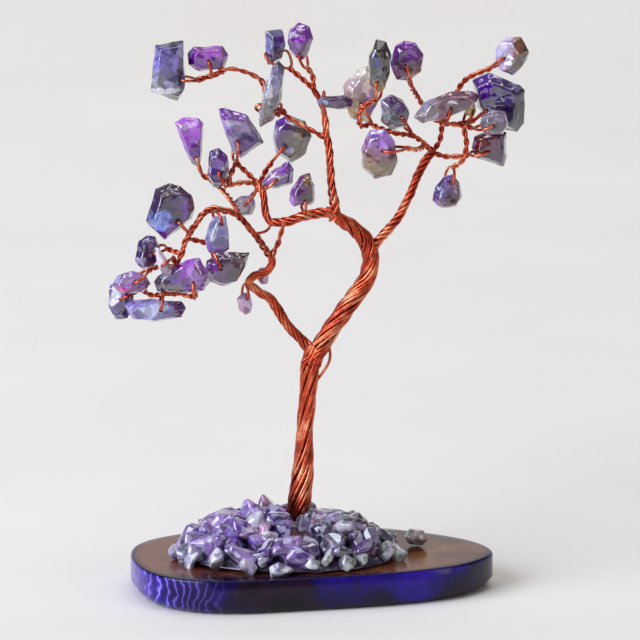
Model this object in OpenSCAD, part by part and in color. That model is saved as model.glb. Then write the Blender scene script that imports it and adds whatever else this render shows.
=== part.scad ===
// Gem tree: drilled, tumbled stone chips on twisted copper wire, standing on a polished stone slice.
// Millimetres, +Z up, front of the tree towards -Y. Origin: centre of the slice's underside.

/* [Slice] */
// Thickness of the stone slice
slice_thickness = 6; // [4.5:0.5:8]
// How far the lower edge of the slice is rounded in
slice_round = 2; // [0.5:0.25:3]

/* [Wire] */
// Diameter of one strand of wire
wire_d = 0.5; // [0.4:0.05:0.6]
// Diameter of a twisted pair of strands
pair_d = 0.96; // [0.8:0.04:1.1]
// Thickness of the trunk and branches, against the normal size
branch_scale = 1; // [0.85:0.05:1.15]

/* [Chips] */
// Radial play of a strand in a drilled hole
hole_play = 0.08; // [0.04:0.01:0.1]
// Size of the chips that cover the foot, against the normal size
bed_chip_scale = 1; // [0.8:0.05:1.05]

/* [Hidden] */

stone_violet = [0.45, 0.29, 0.65];
stone_pale = [0.72, 0.68, 0.80];
slice_colour = [0.17, 0.06, 0.40];
copper = [0.78, 0.26, 0.11];
glue_colour = [0.85, 0.85, 0.82];

wire_r = wire_d / 2;
pair_r = pair_d / 2;
hole_r = wire_r + hole_play;
strand_offset = 0.24;
tube_sides = 8;

// ---- small helpers ----

function unit(v) = v / norm(v);

// Direction of a path at point i
function heading(path, i) = unit(path[min(i + 1, len(path) - 1)] - path[max(i - 1, 0)]);

// Side vector carried along a path without twisting
function carry(side, along) = unit(side - (side * along) * along);
function sides(path, i, side) =
  i == len(path)
    ? []
    : let (next = carry(side, heading(path, i)))
      concat([next], sides(path, i + 1, next));

// A direction that is safely across the start of a path
function start_side(along) = abs(along[1]) < 0.8 ? [0, 1, 0] : [1, 0, 0];

function ring(centre, along, side, radius, count) = [
  for (k = [0 : count - 1])
    let (turn = 360 * k / count)
    centre + radius * (cos(turn) * side + sin(turn) * cross(along, side))
];

// Closed tube along a path, with one radius for each point
module tube(path, radii, count = tube_sides) {
  last = len(path) - 1;
  across = sides(path, 0, start_side(heading(path, 0)));
  points = [
    for (i = [0 : last])
      each ring(path[i], heading(path, i), across[i], radii[i], count)
  ];
  walls = [
    for (i = [0 : last - 1], k = [0 : count - 1])
      let (a = i * count + k)
      let (b = i * count + (k + 1) % count)
      each [[a, a + count, b + count], [a, b + count, b]]
  ];
  first_cap = [[for (k = [0 : count - 1]) k]];
  last_cap = [[for (k = [0 : count - 1]) last * count + count - 1 - k]];
  polyhedron(points, concat(first_cap, walls, last_cap));
}

module even_tube(path, radius) {
  tube(path, [for (p = path) radius]);
}

// ---- leaf chips and the wire that holds them ----
// A leaf is [centre, turn about Z, hole position in its face, hole [yaw, pitch], half length of the
// threaded stretch, point where the twist starts, how far the strands run clear of the stone]

function moved(leaf, shift) = [
  leaf[0] + shift, leaf[1], leaf[2], leaf[3], leaf[4], leaf[5] + shift, leaf[6]
];

function hole_along(leaf) =
  let (yaw = leaf[3][0])
  let (pitch = leaf[3][1])
  [cos(pitch) * cos(yaw), cos(pitch) * sin(yaw), sin(pitch)];

function hole_centre(leaf) =
  leaf[0] + leaf[2][0] * [cos(leaf[1]), sin(leaf[1]), 0] + [0, 0, leaf[2][1]];

// Direction from the hole towards the twist, square to the hole
function leg_along(leaf) =
  let (along = hole_along(leaf))
  let (away = leaf[5] - hole_centre(leaf))
  unit(away - (away * along) * along);

function leg_path(leaf, hand) =
  let (along = hand * hole_along(leaf))
  let (outer = hole_centre(leaf) + along * leaf[4])
  [outer, outer + leg_along(leaf) * leaf[6], leaf[5] + along * strand_offset];

function loop_path(leaf) =
  let (there = leg_path(leaf, 1))
  let (back = leg_path(leaf, -1))
  [there[2], there[1], there[0], back[0], back[1], back[2]];

// Strand threaded through a stone, both ends meeting at the twist
module leaf_loop(leaf) {
  even_tube(loop_path(leaf), wire_r);
  twist_start(leaf);
}

// The same strand without the stretch in the hole, for a stone that swings on its own pin
module leaf_legs(leaf) {
  for (hand = [-1, 1])
    even_tube(leg_path(leaf, hand), wire_r);
  twist_start(leaf);
}

// First turn of the twist, where the two strands cross
module twist_start(leaf) {
  knot(leaf[5], hole_along(leaf) * strand_offset);
}

// Short thick turn of wire round a point, drawn out a little each way
module knot(place, reach) {
  hull()
    for (hand = [-1, 1])
      translate(place + hand * reach)
        sphere(r = pair_r * 1.3, $fn = 8);
}

module twig(path) {
  even_tube(path, pair_r);
}

module leaf_pin(leaf) {
  reach = 0.12;
  translate(hole_centre(leaf))
    rotate([0, 90 - leaf[3][1], leaf[3][0]])
      cylinder(h = 2 * (leaf[4] + reach), r = wire_r, center = true, $fn = 32);
}

module face(outline, place, y) {
  translate([place[1], y, place[2]])
    rotate([90, 0, 0])
      linear_extrude(height = 0.1, center = true)
        polygon(place[0] * outline);
}

// Tumbled chip: widest outline in the middle, smaller faces [size, shift x, shift z] front and back
module chip(leaf, outline, depth, front, back) {
  clear_of_stone = 2;
  difference() {
    translate(leaf[0])
      rotate([0, 0, leaf[1]])
        hull() {
          face(outline, front, -depth / 2);
          face(outline, [1, 0, 0], 0);
          face(outline, back, depth / 2);
        }
    translate(hole_centre(leaf))
      rotate([0, 90 - leaf[3][1], leaf[3][0]])
        cylinder(h = 2 * (leaf[4] + clear_of_stone), r = hole_r, center = true, $fn = 32);
  }
}

// ---- where each spray of leaves sits, and its leaves ----

left_shift = [0, -6, 1.4];
middle_shift = [0, 5, -1.2];
far_left_shift = [0, 3, -0.7];
top_shift = [0, 1, -0.2];
top_right_shift = [0, -3, 0.7];
right_shift = [0, 2, -0.5];

far_left_tall = moved([[-23.6, -0.6, 88.5], 20, [1.6, -1.2],
  [110, 0], 2.6, [-18.9, 0, 87], 2.1], far_left_shift);
far_left_flat = moved([[-17.1, 0.6, 90.5], 5, [0, -0.2],
  [95, 0], 2, [-16.4, 0.4, 87.6], 2.2], far_left_shift);

top_grey = moved([[-6, 2.6, 92.1], 35, [0.2, -1], [35, 0], 2.3, [-3.6, 1.4, 88.6], 2.3], top_shift);
top_round = moved([[-1.8, -0.6, 93.4], -10, [0.2, -1.8], [80, 0], 2.6, [-0.6, -0.2, 89], 2.1], top_shift);
top_long = moved([[-6.7, -2.4, 85.1], 10, [-0.2, -1.8], [10, 0], 2.1, [-5.6, -0.2, 80.9], 2], top_shift);
top_bar = moved([[3.9, -3.2, 83.7], 0, [-1.7, 0], [0, 90], 1.6, [2, -0.1, 83.2], 1.7], top_shift);

pale_quartz = moved([[8.3, 3.6, 83.6], 15, [-0.6, -1.2],
  [105, 0], 2.4, [10.2, 2.6, 78.6], 3.5], top_right_shift);
dark_oval = moved([[11.3, -2.6, 89.5], -15, [0, -2.4], [75, 0], 1.9, [11.2, -2.2, 84], 2.6], top_right_shift);
disc = moved([[15.8, 1.6, 89.7], 10, [-0.4, -0.6], [100, 0], 2.2, [16.6, 1.6, 85.2], 3.3], top_right_shift);
smoky = moved([[13.8, 1.6, 81], 20, [0.6, -0.6], [110, 0], 2.1, [16.6, 1.2, 77.6], 2.7], top_right_shift);
two_tone = moved([[11.2, -2.2, 74.8], -10, [1, 0.8], [80, 0], 2.2, [15.6, -1.6, 75.6], 2.7], top_right_shift);

right_tip = moved([[33.5, 0, 91], -35, [-0.6, -0.2], [55, 0], 2.5, [30, 1.7, 88.7], 2.4], right_shift);
right_block = moved([[31.2, 4.4, 82.3], -12, [-1.6, -1], [78, 0], 2.6, [27.4, 3.6, 79.6], 4], right_shift);
right_long = moved([[22.5, -3, 83], 8, [0.4, 0], [98, 0], 2.1, [21.6, -1.4, 79.8], 2.9], right_shift);
right_grey = moved([[30.4, -2.6, 80.3], 12, [-0.6, -0.2], [102, 0], 1.8, [27, -1.6, 79.1], 2.1], right_shift);
right_plum = moved([[29.8, 0.8, 75.4], 10, [-0.6, -0.4], [100, 0], 2.1, [26.4, 0.4, 74.2], 2.4], right_shift);
right_sliver = moved([[26.5, 0.2, 82], 30, [0, -0.2], [120, 0], 1.1, [25.4, 0.2, 79.8], 1.3], right_shift);
right_drop = moved([[22.7, 0, 68.2], 15, [0.2, 1.6], [105, 0], 2.4, [23.5, 0, 72.2], 1.9], right_shift);

wedge = moved([[-20.2, 0.6, 76.4], 10, [0.9, -2.4], [100, 0], 2, [-18.2, 0.4, 70.9], 2.1], middle_shift);
dark_middle = moved([[-15.3, -1.6, 72.6], -8, [0.2, -0.4], [82, 0], 2, [-13.9, -1, 69.4], 2.9], middle_shift);
kite = moved([[-11.7, 1.6, 77.9], 12, [-0.8, -1.2], [102, 0], 2.1, [-12.7, 1.2, 73], 3.4], middle_shift);
olive = moved([[-3.3, 2, 76.7], -10, [-0.8, -1], [80, 0], 2.2, [-6.4, 1.4, 73], 3.6], middle_shift);
triangle = moved([[-5.5, -2, 71.3], 5, [-0.4, -0.4], [95, 0], 1.8, [-8, -1.2, 69], 2.6], middle_shift);
milky = moved([[-11.2, -1, 65.9], 0, [0.2, 0.4], [90, 0], 1.6, [-9.2, -0.4, 68.2], 2], middle_shift);
arch = moved([[-1.4, 0, 68.1], 12, [0.1, -1.5], [102, 0], 2.1, [-1.2, 0, 64.5], 1.6], [0, 0.6, -0.1]);

left_hood = moved([[-23.2, 0, 64.3], 15, [0.8, -1.2], [105, 0], 2.5, [-20.4, 0.2, 61], 3.2], left_shift);
left_dark = moved([[-27.1, 2.4, 57], 20, [0.6, 0], [110, 0], 1.9, [-23.9, 1.8, 57.8], 2.8], left_shift);
left_point = moved([[-24.4, -4, 56.8], -15, [0.2, -0.4], [75, 0], 1.2, [-22.8, -1.4, 57], 1.3], left_shift);
left_pink = moved([[-29.8, -2.4, 53], 10, [0.4, 0.2], [100, 0], 1.8, [-27, -1.8, 54.8], 2.2], left_shift);
left_white = moved([[-31.4, 2.2, 49], -25, [0.5, 0.4], [65, 0], 1.9, [-28, 1.8, 50.8], 2.7], left_shift);
left_boat = moved([[-25.8, -2, 48.4], 6, [0.8, 0.1], [96, 0], 1.9, [-24.6, -1.2, 50.8], 2.2], left_shift);
left_lilac = moved([[-21.2, -2.6, 54.1], -6, [2, -0.8], [84, 0], 1.9, [-19, -1.6, 50.4], 2.8], left_shift);
left_mauve = moved([[-13.8, 1.4, 54.5], 14, [-1.6, 0.4], [104, 0], 2, [-16.4, 1, 57.6], 2.4], left_shift);
left_blue = moved([[-15.4, -2.8, 61.2], 20, [0.2, 2], [110, 0], 2.1, [-16.3, -1.2, 65], 2.1], left_shift);
left_drop = moved([[-11, 0, 49.2], 20, [0.1, 0.9], [110, 0], 1.6, [-10.9, 0, 52.3], 1.5], [0, -2.4, 0.4]);
left_bud = moved([[-8, 0, 53.6], -30, [0.2, 0], [60, 0], 1.2, [-9.9, 0, 53.3], 1.2], [0, 0.2, 0]);

pinned_leaves = [far_left_tall, top_round, disc, right_drop, right_tip, wedge, arch, left_blue, left_drop];

// ---- slice, glue and foot ----

slice_corners = [
  [-30.2, 2.5], [-29.4, -6.5], [-26, -14], [-19.5, -18], [-11.5, -18.6], [-2, -16.8], [8, -14.6],
  [17, -12], [25, -8], [29.8, -2], [30.2, 3], [26.6, 8.6], [19.5, 13.4], [10, 17.2], [0, 18.6],
  [-11, 17], [-20.5, 13.6], [-27.4, 8.6]
];

// Smooth closed curve through a list of corners, three steps to a corner
function between(a, b, c, d, t) =
  0.5 * (2 * b + (c - a) * t + (2 * a - 5 * b + 4 * c - d) * t * t
    + (3 * b - a - 3 * c + d) * t * t * t);
function smooth_loop(corners, steps) = [
  for (i = [0 : len(corners) - 1], s = [0 : steps - 1])
    let (n = len(corners))
    between(corners[(i + n - 1) % n], corners[i], corners[(i + 1) % n], corners[(i + 2) % n], s / steps)
];

// Solid made of level rings, each [height, size, outline]
module stacked(outline, levels) {
  n = len(outline);
  last = len(levels) - 1;
  points = [
    for (level = levels, p = outline)
      [p[0] * level[1], p[1] * level[1], level[0]]
  ];
  walls = [
    for (i = [0 : last - 1], k = [0 : n - 1])
      let (a = i * n + k)
      let (b = i * n + (k + 1) % n)
      each [[a, a + n, b + n], [a, b + n, b]]
  ];
  bottom = [[for (k = [0 : n - 1]) k]];
  top = [[for (k = [0 : n - 1]) last * n + n - 1 - k]];
  polyhedron(points, concat(bottom, walls, top));
}

module base_slice() {
  half_length = 30;
  tucked = 1 - slice_round / half_length;
  lip = 0.3;
  color(slice_colour)
    stacked(smooth_loop(slice_corners, 4), [
      [0, tucked - 0.035],
      [slice_round * 0.12, tucked],
      [slice_round * 0.5, 1 - slice_round / half_length / 3],
      [slice_round, 1],
      [slice_thickness - lip, 1],
      [slice_thickness, 1 - lip / half_length]
    ]);
}

bed_centre = [-4, -2.6];
bed_half = [19, 12.6];
bed_height = 7.2;

function bed_point(turn, spread, lift) = [
  bed_centre[0] + bed_half[0] * spread * cos(turn),
  bed_centre[1] + bed_half[1] * spread * sin(turn),
  slice_thickness + lift
];

module glue_bed() {
  steps = 30;
  rim = [for (k = [0 : steps - 1]) [bed_half[0] * cos(360 * k / steps), bed_half[1] * sin(360 * k / steps)]];
  color(glue_colour)
    translate([bed_centre[0], bed_centre[1], slice_thickness])
      stacked(rim, [[0, 0.96], [0.7, 0.94], [2, 0.84], [3.8, 0.62], [5.2, 0.38], [bed_height - 1.4, 0.16]]);
}

// Repeatable scatter from -1 to 1
function scatter(a, b) =
  let (v = sin(a * 127.1 + b * 311.7) * 437.5)
  2 * (v - floor(v)) - 1;

// One small stone of the bed: an uneven slab with a smaller top
module bed_chip(place, size, key) {
  corners = [
    for (k = [0 : 5])
      let (reach = size * (0.5 + 0.08 * scatter(key, k)))
      [reach * cos(60 * k + 12 * scatter(k, key)), reach * 0.84 * sin(60 * k + 12 * scatter(k, key))]
  ];
  translate(place)
    rotate([16 * scatter(key, 11), 16 * scatter(key, 12), 180 * scatter(key, 13)])
      hull() {
        translate([0, 0, -0.3 * size])
          linear_extrude(height = 0.1)
            polygon(0.62 * corners);
        translate([0, 0, -0.06 * size])
          linear_extrude(height = 0.1)
            polygon(corners);
        translate([0.1 * size * scatter(key, 14), 0, 0.26 * size])
          linear_extrude(height = 0.1)
            polygon(0.6 * corners);
      }
}

// Ring of stones round the foot: count, spread over the bed, height, size
module bed_ring(count, spread, lift, size, key) {
  even_out = 5.8;
  color(stone_pale)
    for (k = [0 : count - 1]) {
      step = 360 * (k + 0.06 * scatter(key, k)) / count;
      turn = step + even_out * sin(2 * step);
      bed_chip(bed_point(turn, spread, lift), bed_chip_scale * size * (1 + 0.06 * scatter(k, key + 3)),
        key + k);
    }
}

module bed_chips_rim() {
  bed_ring(22, 0.97, 1.5, 3.7, 100);
}

module bed_chips_lower() {
  bed_ring(17, 0.76, 3.5, 3.8, 200);
}

module bed_chips_upper() {
  bed_ring(11, 0.53, 5.5, 3.9, 300);
}

// The crown leaves room for the trunk
module bed_chips_crown() {
  turns = [0, -62, -118, 180, 122];
  size = bed_chip_scale * 3.6;
  color(stone_pale) {
    for (k = [0 : len(turns) - 1])
      bed_chip(bed_point(turns[k], 0.29, 6.9), size, 400 + k);
    bed_chip(bed_point(180, 0.05, 8), size, 410);
  }
}

module bed_chip_loose() {
  color(stone_pale)
    bed_chip([17.6, 4.4, slice_thickness + 1.65], 4.4, 7);
}

module root_wires() {
  trunk_x = -2.2;
  spread = [[-150, 10, 0.5], [-82, 9.5, 1.7], [-34, 15.5, 1.8], [15, 10, 0.5], [75, 10, 0.5], [130, 10, 0.5]];
  color(copper)
    for (root = spread)
      let (c = cos(root[0]))
      let (s = sin(root[0]))
      even_tube([
        [trunk_x + 1.1 * c, 1.1 * s, 12.4],
        [trunk_x + 2 * c, 2 * s, 10.2],
        [trunk_x + 0.55 * root[1] * c, 0.46 * root[1] * s, 8.6],
        [trunk_x + root[1] * c, 0.8 * root[1] * s, slice_thickness + root[2]]
      ], wire_r);
}

// ---- trunk and branches ----

module limb(path, radii) {
  color(copper)
    tube(path, branch_scale * radii);
}

module trunk() {
  limb([
    [-2.2, 0, slice_thickness], [-2.2, 0, 11.8], [-1.9, 0, 15.6], [-1.5, 0, 18.6], [-1.3, 0, 21.6],
    [-1, 0, 27.7], [-0.5, 0, 33.9], [-0.2, 0, 38.2], [0.6, 0, 41.8]
  ], [1.5, 1.7, 1.95, 1.8, 1.55, 1.4, 1.45, 1.6, 1.5]);
}

module trunk_loop() {
  color(copper)
    even_tube([[0.9, 0, 35.6], [2.1, 0, 37.3], [3, 0, 38.9], [3.2, 0, 40.4], [2.9, 0, 41.8],
      [2.6, 0, 42.9]], wire_r);
}

module branch_left_lower() {
  limb([
    [0.4, 0, 41], [-1.4, -0.2, 42.6], [-3.7, -0.6, 45.1], [-6.7, -1.4, 49.9], [-8.6, -1.8, 51.3],
    [-10.4, -2.2, 52.8], [-9.6, -2.4, 54], [-7.4, -2.5, 55], [-6.5, -2.5, 56.2], [-6.6, -2.5, 57.4]
  ], [1.1, 0.95, 0.9, 0.85, 0.8, 0.75, 0.75, 0.7, 0.65, 0.6]);
}

module branch_left_arm() {
  limb([
    [-6.6, -2.5, 57.2], [-9.8, -4, 62.2], [-12.2, -5, 65], [-15, -6, 66.2], [-17.2, -6, 66],
    [-20.2, -6, 61.9], [-21.4, -6, 58.8], [-22.4, -6, 56.4]
  ], [0.6, 0.6, 0.6, 0.6, 0.6, 0.55, 0.5, 0.48]);
}

module branch_left_riser() {
  limb([[-6.6, -2.5, 57.3], [-5.4, -1.4, 59.8], [-4.4, 0.2, 62.7]], [0.55, 0.5, 0.5]);
}

module branch_right_lower() {
  limb([
    [1, 0, 40.6], [3.9, 0.4, 45.2], [7, 0.8, 49.6], [9.2, 1, 52.8], [9.9, 1, 55.6], [9.7, 0.8, 58]
  ], [1.55, 1.55, 1.5, 1.45, 1.45, 1.4]);
}

module branch_right_arch() {
  limb([[9.8, 0.9, 57.4], [9, 0.6, 59.6], [7, 0.4, 61.8], [5.2, 0.2, 63], [3.6, 0, 64.2]],
    [1.4, 1.4, 1.3, 1.25, 1.1]);
}

module branch_upper_left() {
  limb([
    [4.2, 0, 64.1], [1.6, 0.2, 64.3], [-0.6, 0.5, 63.9], [-3.7, 1, 62.8], [-6.7, 2, 62.4],
    [-7.6, 3, 64.2], [-7.9, 4, 66.6], [-8.6, 5, 68.2]
  ], [0.9, 0.85, 0.8, 0.85, 0.75, 0.65, 0.6, 0.55]);
}

module branch_top() {
  limb([
    [3.9, 0, 63.4], [3.9, 0, 65.8], [3.3, 0, 70], [3.1, 0, 74], [2.7, 0.3, 76.8], [2.3, 0.6, 80],
      [1.9, 1, 82.4],
    [0.4, 1, 85.2]
  ], [0.9, 0.85, 0.75, 0.7, 0.65, 0.6, 0.55, 0.5]);
}

module branch_right_side() {
  limb([
    [9.6, 1, 57], [11.2, 1.2, 59.4], [13.3, 1.4, 61.7], [15.3, 1.6, 64.6], [17.2, 1.8, 69],
    [18.8, 2, 72.4], [20.4, 2, 74.5]
  ], [0.8, 0.75, 0.7, 0.7, 0.7, 0.75, 0.7]);
}

module branch_far_left() {
  limb([
    [2.7, 0.3, 76.9], [-1.4, 0.8, 79], [-5.3, 2, 81.4], [-7.6, 3.4, 84.4], [-8.6, 3.6, 86.4],
    [-13, 3.2, 88.1], [-16.4, 3.2, 87], [-18.9, 3, 86.2]
  ], [0.5, 0.5, 0.5, 0.5, 0.5, 0.5, 0.48, 0.46]);
}

// ---- twigs with their threaded strands ----

module twigs_left() {
  arm_low = [-22.4, -6, 56.4];
  strand_right = left_lilac[5];
  strand_left = left_white[5];
  color(copper) {
    leaf_loop(left_hood);
    leaf_loop(left_dark);
    leaf_loop(left_point);
    leaf_loop(left_pink);
    leaf_loop(left_white);
    leaf_loop(left_boat);
    leaf_loop(left_lilac);
    leaf_loop(left_mauve);
    leaf_legs(left_blue);
    leaf_legs(left_drop);
    leaf_loop(left_bud);
    knot(arm_low, [0, 0, 0.3]);
    twig([[-20.2, -6, 61.9], left_hood[5]]);
    twig([[-21.6, -6, 58.8], [-22.8, -5, 59], left_dark[5]]);
    twig([arm_low, left_point[5]]);
    twig([arm_low, [-24.6, -5.2, 56.5], left_pink[5]]);
    twig([arm_low, [-21.8, -5, 54], [-22, -5.6, 52]]);
    twig([strand_right, [-22, -5.6, 52], left_boat[5], [-26.4, -5.4, 51.6], strand_left]);
    twig([[-20, -6, 61.2], [-17.6, -5, 60.4], [-16.7, -4.8, 59.8], left_mauve[5]]);
    twig([[-16.4, -6, 66], left_blue[5]]);
    twig([[-10.2, -2.2, 53], left_drop[5]]);
    twig([[-10.2, -2.2, 53], left_bud[5]]);
  }
}

module twigs_middle() {
  hub = [-8.6, 5, 68];
  color(copper) {
    leaf_legs(wedge);
    leaf_loop(dark_middle);
    leaf_loop(kite);
    leaf_loop(olive);
    leaf_loop(triangle);
    leaf_loop(milky);
    leaf_legs(arch);
    leaf_legs(far_left_tall);
    leaf_loop(far_left_flat);
    knot(hub, [0, 0, 0.3]);
    twig([[-11.6, -4.7, 64.6], [-12.6, -1, 65.8], [-14.2, 3, 67], [-15.8, 5, 68.2], wedge[5]]);
    twig([hub, [-10.6, 5.2, 70], kite[5]]);
    twig([[-12.2, 6, 72.2], dark_middle[5]]);
    twig([hub, [-11, 4.4, 68.6], dark_middle[5]]);
    twig([hub, [-7.6, 5.6, 70.2], olive[5]]);
    twig([hub, triangle[5]]);
    twig([hub, milky[5]]);
    twig([[-0.6, 0.5, 63.7], arch[5]]);
    twig([[-18.5, 3, 86.3], far_left_tall[5]]);
    twig([[-15.6, 3.2, 87.2], far_left_flat[5]]);
    even_tube([[-6.6, 1.8, 62.4], [-7.2, 1.4, 61.2], [-8.6, 0.6, 60.8], [-10.2, -1, 61.4],
      [-11.2, -3.6, 63.8]], wire_r);
  }
}

module twigs_top() {
  tip = [0.4, 1, 85.2];
  crossing = [16.8, -1.6, 77.8];
  color(copper) {
    leaf_loop(top_grey);
    leaf_legs(top_round);
    leaf_loop(top_long);
    leaf_loop(top_bar);
    leaf_loop(pale_quartz);
    leaf_loop(dark_oval);
    leaf_legs(disc);
    leaf_loop(smoky);
    leaf_loop(two_tone);
    knot(tip, [0.1, 0, 0.3]);
    knot(crossing, [0.2, 0, 0.1]);
    twig([tip, [-1.8, 1.8, 87], top_grey[5]]);
    twig([tip, [0.3, 1, 87.2], top_round[5]]);
    twig([[-4.7, 2, 81.4], top_long[5]]);
    twig([[20.2, 2, 74.2], [18.4, 0, 76.4], crossing, smoky[5]]);
    twig([crossing, [14, -3.6, 78.6], pale_quartz[5]]);
    twig([pale_quartz[5], [8.2, -4.4, 80], [8, -5.6, 82.6], [9.4, -6, 84], dark_oval[5]]);
    twig([[19, 0.6, 75.6], [17.6, -3.4, 75.8], two_tone[5]]);
    twig([[21.7, 1.4, 79.4], [19.6, 3, 80.2], [18, 2, 83], disc[5]]);
  }
}

module twigs_right() {
  hub = [20.2, 2, 74.2];
  upper = [21.7, 1.2, 79.2];
  lower = [25.6, 2, 73.6];
  color(copper) {
    leaf_legs(right_tip);
    leaf_loop(right_block);
    leaf_loop(right_long);
    leaf_loop(right_grey);
    leaf_loop(right_plum);
    leaf_loop(right_sliver);
    leaf_legs(right_drop);
    twig([hub, [21.4, 1.8, 76.4], upper, right_long[5]]);
    twig([upper, [24.4, 1.6, 79], right_grey[5]]);
    twig([[24.4, 1.6, 79], right_sliver[5]]);
    twig([[24.2, 1.6, 79], [25.8, 3.8, 78.6], right_block[5]]);
    twig([hub, [22.4, 2, 73.5], lower, right_plum[5]]);
    twig([lower, [25.8, 2, 76], [25.2, 1.7, 78.8]]);
    twig([lower, [24.8, 2, 72.4], right_drop[5]]);
    twig([[21.8, 1.2, 79], [23.4, 3.2, 82.4], [25.6, 3.2, 86.2], right_tip[5]]);
    knot(hub, [0, 0, 0.3]);
    knot(upper, [0, 0, 0.2]);
    knot(lower, [0, 0, 0.2]);
  }
}

module loose_leaf_pins() {
  color(copper)
    for (leaf = pinned_leaves)
      leaf_pin(leaf);
}

// ---- leaf chips ----

module stone(leaf, outline, depth, front, back) {
  color(stone_violet)
    chip(leaf, outline, depth, front, back);
}

module leaf_far_left_tall() {
  stone(far_left_tall, [[-2.4, 4.8], [2.6, 5.2], [2.8, 0], [2.8, -3.4], [1.6, -5.2], [-3.2, -3.2],
    [-2.2, -2]],
    4, [0.8, -0.2, 0.3], [0.6, 0.3, -0.2]);
}

module leaf_far_left_flat() {
  stone(far_left_flat, [[-3.4, 1], [-2.4, 2.1], [2.4, 2.1], [3.4, 0.6], [2.6, -1.8], [-1.6, -2.2],
    [-3.4, -1]],
    3.2, [0.7, 0, 0], [0.6, 0.2, 0.2]);
}

module leaf_top_grey() {
  stone(top_grey, [[-1.9, 2.9], [1.4, 2.7], [2, 0.4], [1, -2.6], [-1.4, -3.1],
    [-2, 0]], 3.2, [0.7, -0.2, 0], [0.6, 0.2, 0]);
}

module leaf_top_round() {
  stone(top_round, [[-1.8, 2], [-0.2, 3.2], [1.6, 2.6], [2.2, 0.6], [1.4, -2.2], [0.2, -3.2], [-1.5, -2],
    [-2.2, 0]],
    4.2, [0.62, -0.2, 0.3], [0.6, 0, 0]);
}

module leaf_top_long() {
  stone(top_long, [[1.4, 5.6], [2.6, 4.4], [1.8, -1.2], [0.4, -4.6], [-1.8, -5.7], [-2, -3], [-0.8, 1.6],
    [0.4, 4.8]],
    3, [0.7, -0.2, 0], [0.6, 0.2, 0.3]);
}

module leaf_top_bar() {
  stone(top_bar, [[-3, 0.3], [-2.2, 1], [1.8, 1.25], [3, 0.4], [2.8, -0.8], [1.4, -1.25], [-2.2, -0.8]],
    2.4, [0.7, 0, 0], [0.65, 0, 0]);
}

module leaf_pale_quartz() {
  stone(pale_quartz, [[-3, 1.6], [-1, 4], [1.4, 4.8], [3.2, 2.6], [3, -1.4], [1.2, -4.6], [-1.8, -4],
    [-3.2, -1.2]],
    4, [0.66, 0, 0.2], [0.6, 0.2, 0]);
}

module leaf_dark_oval() {
  stone(dark_oval, [[-0.6, 4.6], [1, 4.2], [1.9, 2], [1.8, -1], [0.8, -3.8], [-0.6, -4.6], [-1.8, -3],
    [-1.7, 2]],
    3, [0.66, 0, 0], [0.6, 0.1, 0]);
}

module leaf_disc() {
  stone(disc, [[-2, 2.4], [-0.4, 3.5], [1.6, 3], [2.8, 0.8], [2.4, -2], [0.4, -3.5], [-1.8, -3.2],
    [-2.8, -0.6]],
    3, [0.7, 0, 0], [0.66, 0, 0]);
}

module leaf_smoky() {
  stone(smoky, [[-2.4, 2], [-0.6, 3.1], [1.6, 2.2], [2.6, 0], [1.8, -2.6], [-0.4, -3.1], [-2.4, -1.4]],
    3.4, [0.68, 0.1, 0], [0.6, 0, 0.2]);
}

module leaf_two_tone() {
  stone(two_tone, [[-1.6, 4], [1, 4.3], [2.8, 2.2], [3.2, -1.2], [2.2, -3.6], [-0.6, -4.3], [-2.8, -2.6],
    [-3, 0.8]],
    3.6, [0.7, 0, 0], [0.62, 0, 0.1]);
}

module leaf_right_tip() {
  stone(right_tip, [[-3, 1.4], [-1.6, 3.2], [1.4, 3.4], [3.2, 1], [2, -1.6], [0, -3.4], [-2, -2.8], [-3, -1]],
    3.4, [0.75, -0.2, 0], [0.55, 0.3, 0]);
}

module leaf_right_block() {
  stone(right_block, [[-4.4, 3.6], [-1.6, 5], [3.6, 3.2], [4.5, 2.2], [4.4, -3.4], [3.2, -5],
    [-0.4, -4.4], [-3.6, -1]],
    4.4, [0.72, 0, 0.2], [0.64, 0, 0]);
}

module leaf_right_long() {
  stone(right_long, [[-5.6, -1.6], [-4, 1], [0.6, 2.7], [4.6, 2.4], [5.8, 1.6], [4, -0.2], [0.4, -1.8],
    [-4.2, -2.7]],
    3.4, [0.7, 0, 0], [0.62, 0, 0.2]);
}

module leaf_right_grey() {
  stone(right_grey, [[-2.3, 1.4], [-0.4, 2.3], [1.8, 1.8], [2.5, -0.4], [1.4, -2.2], [-1.4, -2.2],
    [-2.5, -0.6]],
    2.8, [0.68, 0, 0], [0.6, 0, 0]);
}

module leaf_right_plum() {
  stone(right_plum, [[-2.8, 2], [0, 3], [2.8, 2.6], [2.8, -1.6], [2.2, -3.3], [0, -2.2], [-2.4, -1.8],
    [-3.2, 0]],
    3.4, [0.7, 0, 0], [0.6, 0, 0]);
}

module leaf_right_sliver() {
  stone(right_sliver, [[-0.8, 1.3], [0.6, 1.5], [1, -0.6], [0.2, -1.5], [-1, -0.9]], 1.4, [0.7, 0, 0],
    [0.6, 0, 0]);
}

module leaf_right_drop() {
  stone(right_drop, [[-0.6, 2.6], [1, 2.9], [2, 1.4], [2.6, -1.2], [1.6, -2.8], [-1.2, -2.9],
    [-2.8, -1.6], [-2, 1]],
    3.2, [0.66, 0, -0.2], [0.6, 0, 0]);
}

module leaf_wedge() {
  stone(wedge, [[-2.6, 3.4], [-1, 4.3], [1.6, 4], [2.4, 3.2], [2, -3.6], [1.2, -4.3], [0.2, -3.8],
    [-1, -0.6]],
    2.8, [0.72, 0, 0.2], [0.62, 0, 0]);
}

module leaf_dark_middle() {
  stone(dark_middle, [[-1.6, 2.6], [0, 3.4], [1.5, 2.2], [1.9, -0.6], [0.9, -3.2], [-0.9, -3.4],
    [-1.9, -1.4]],
    3.2, [0.68, 0, 0], [0.6, 0, 0]);
}

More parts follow.
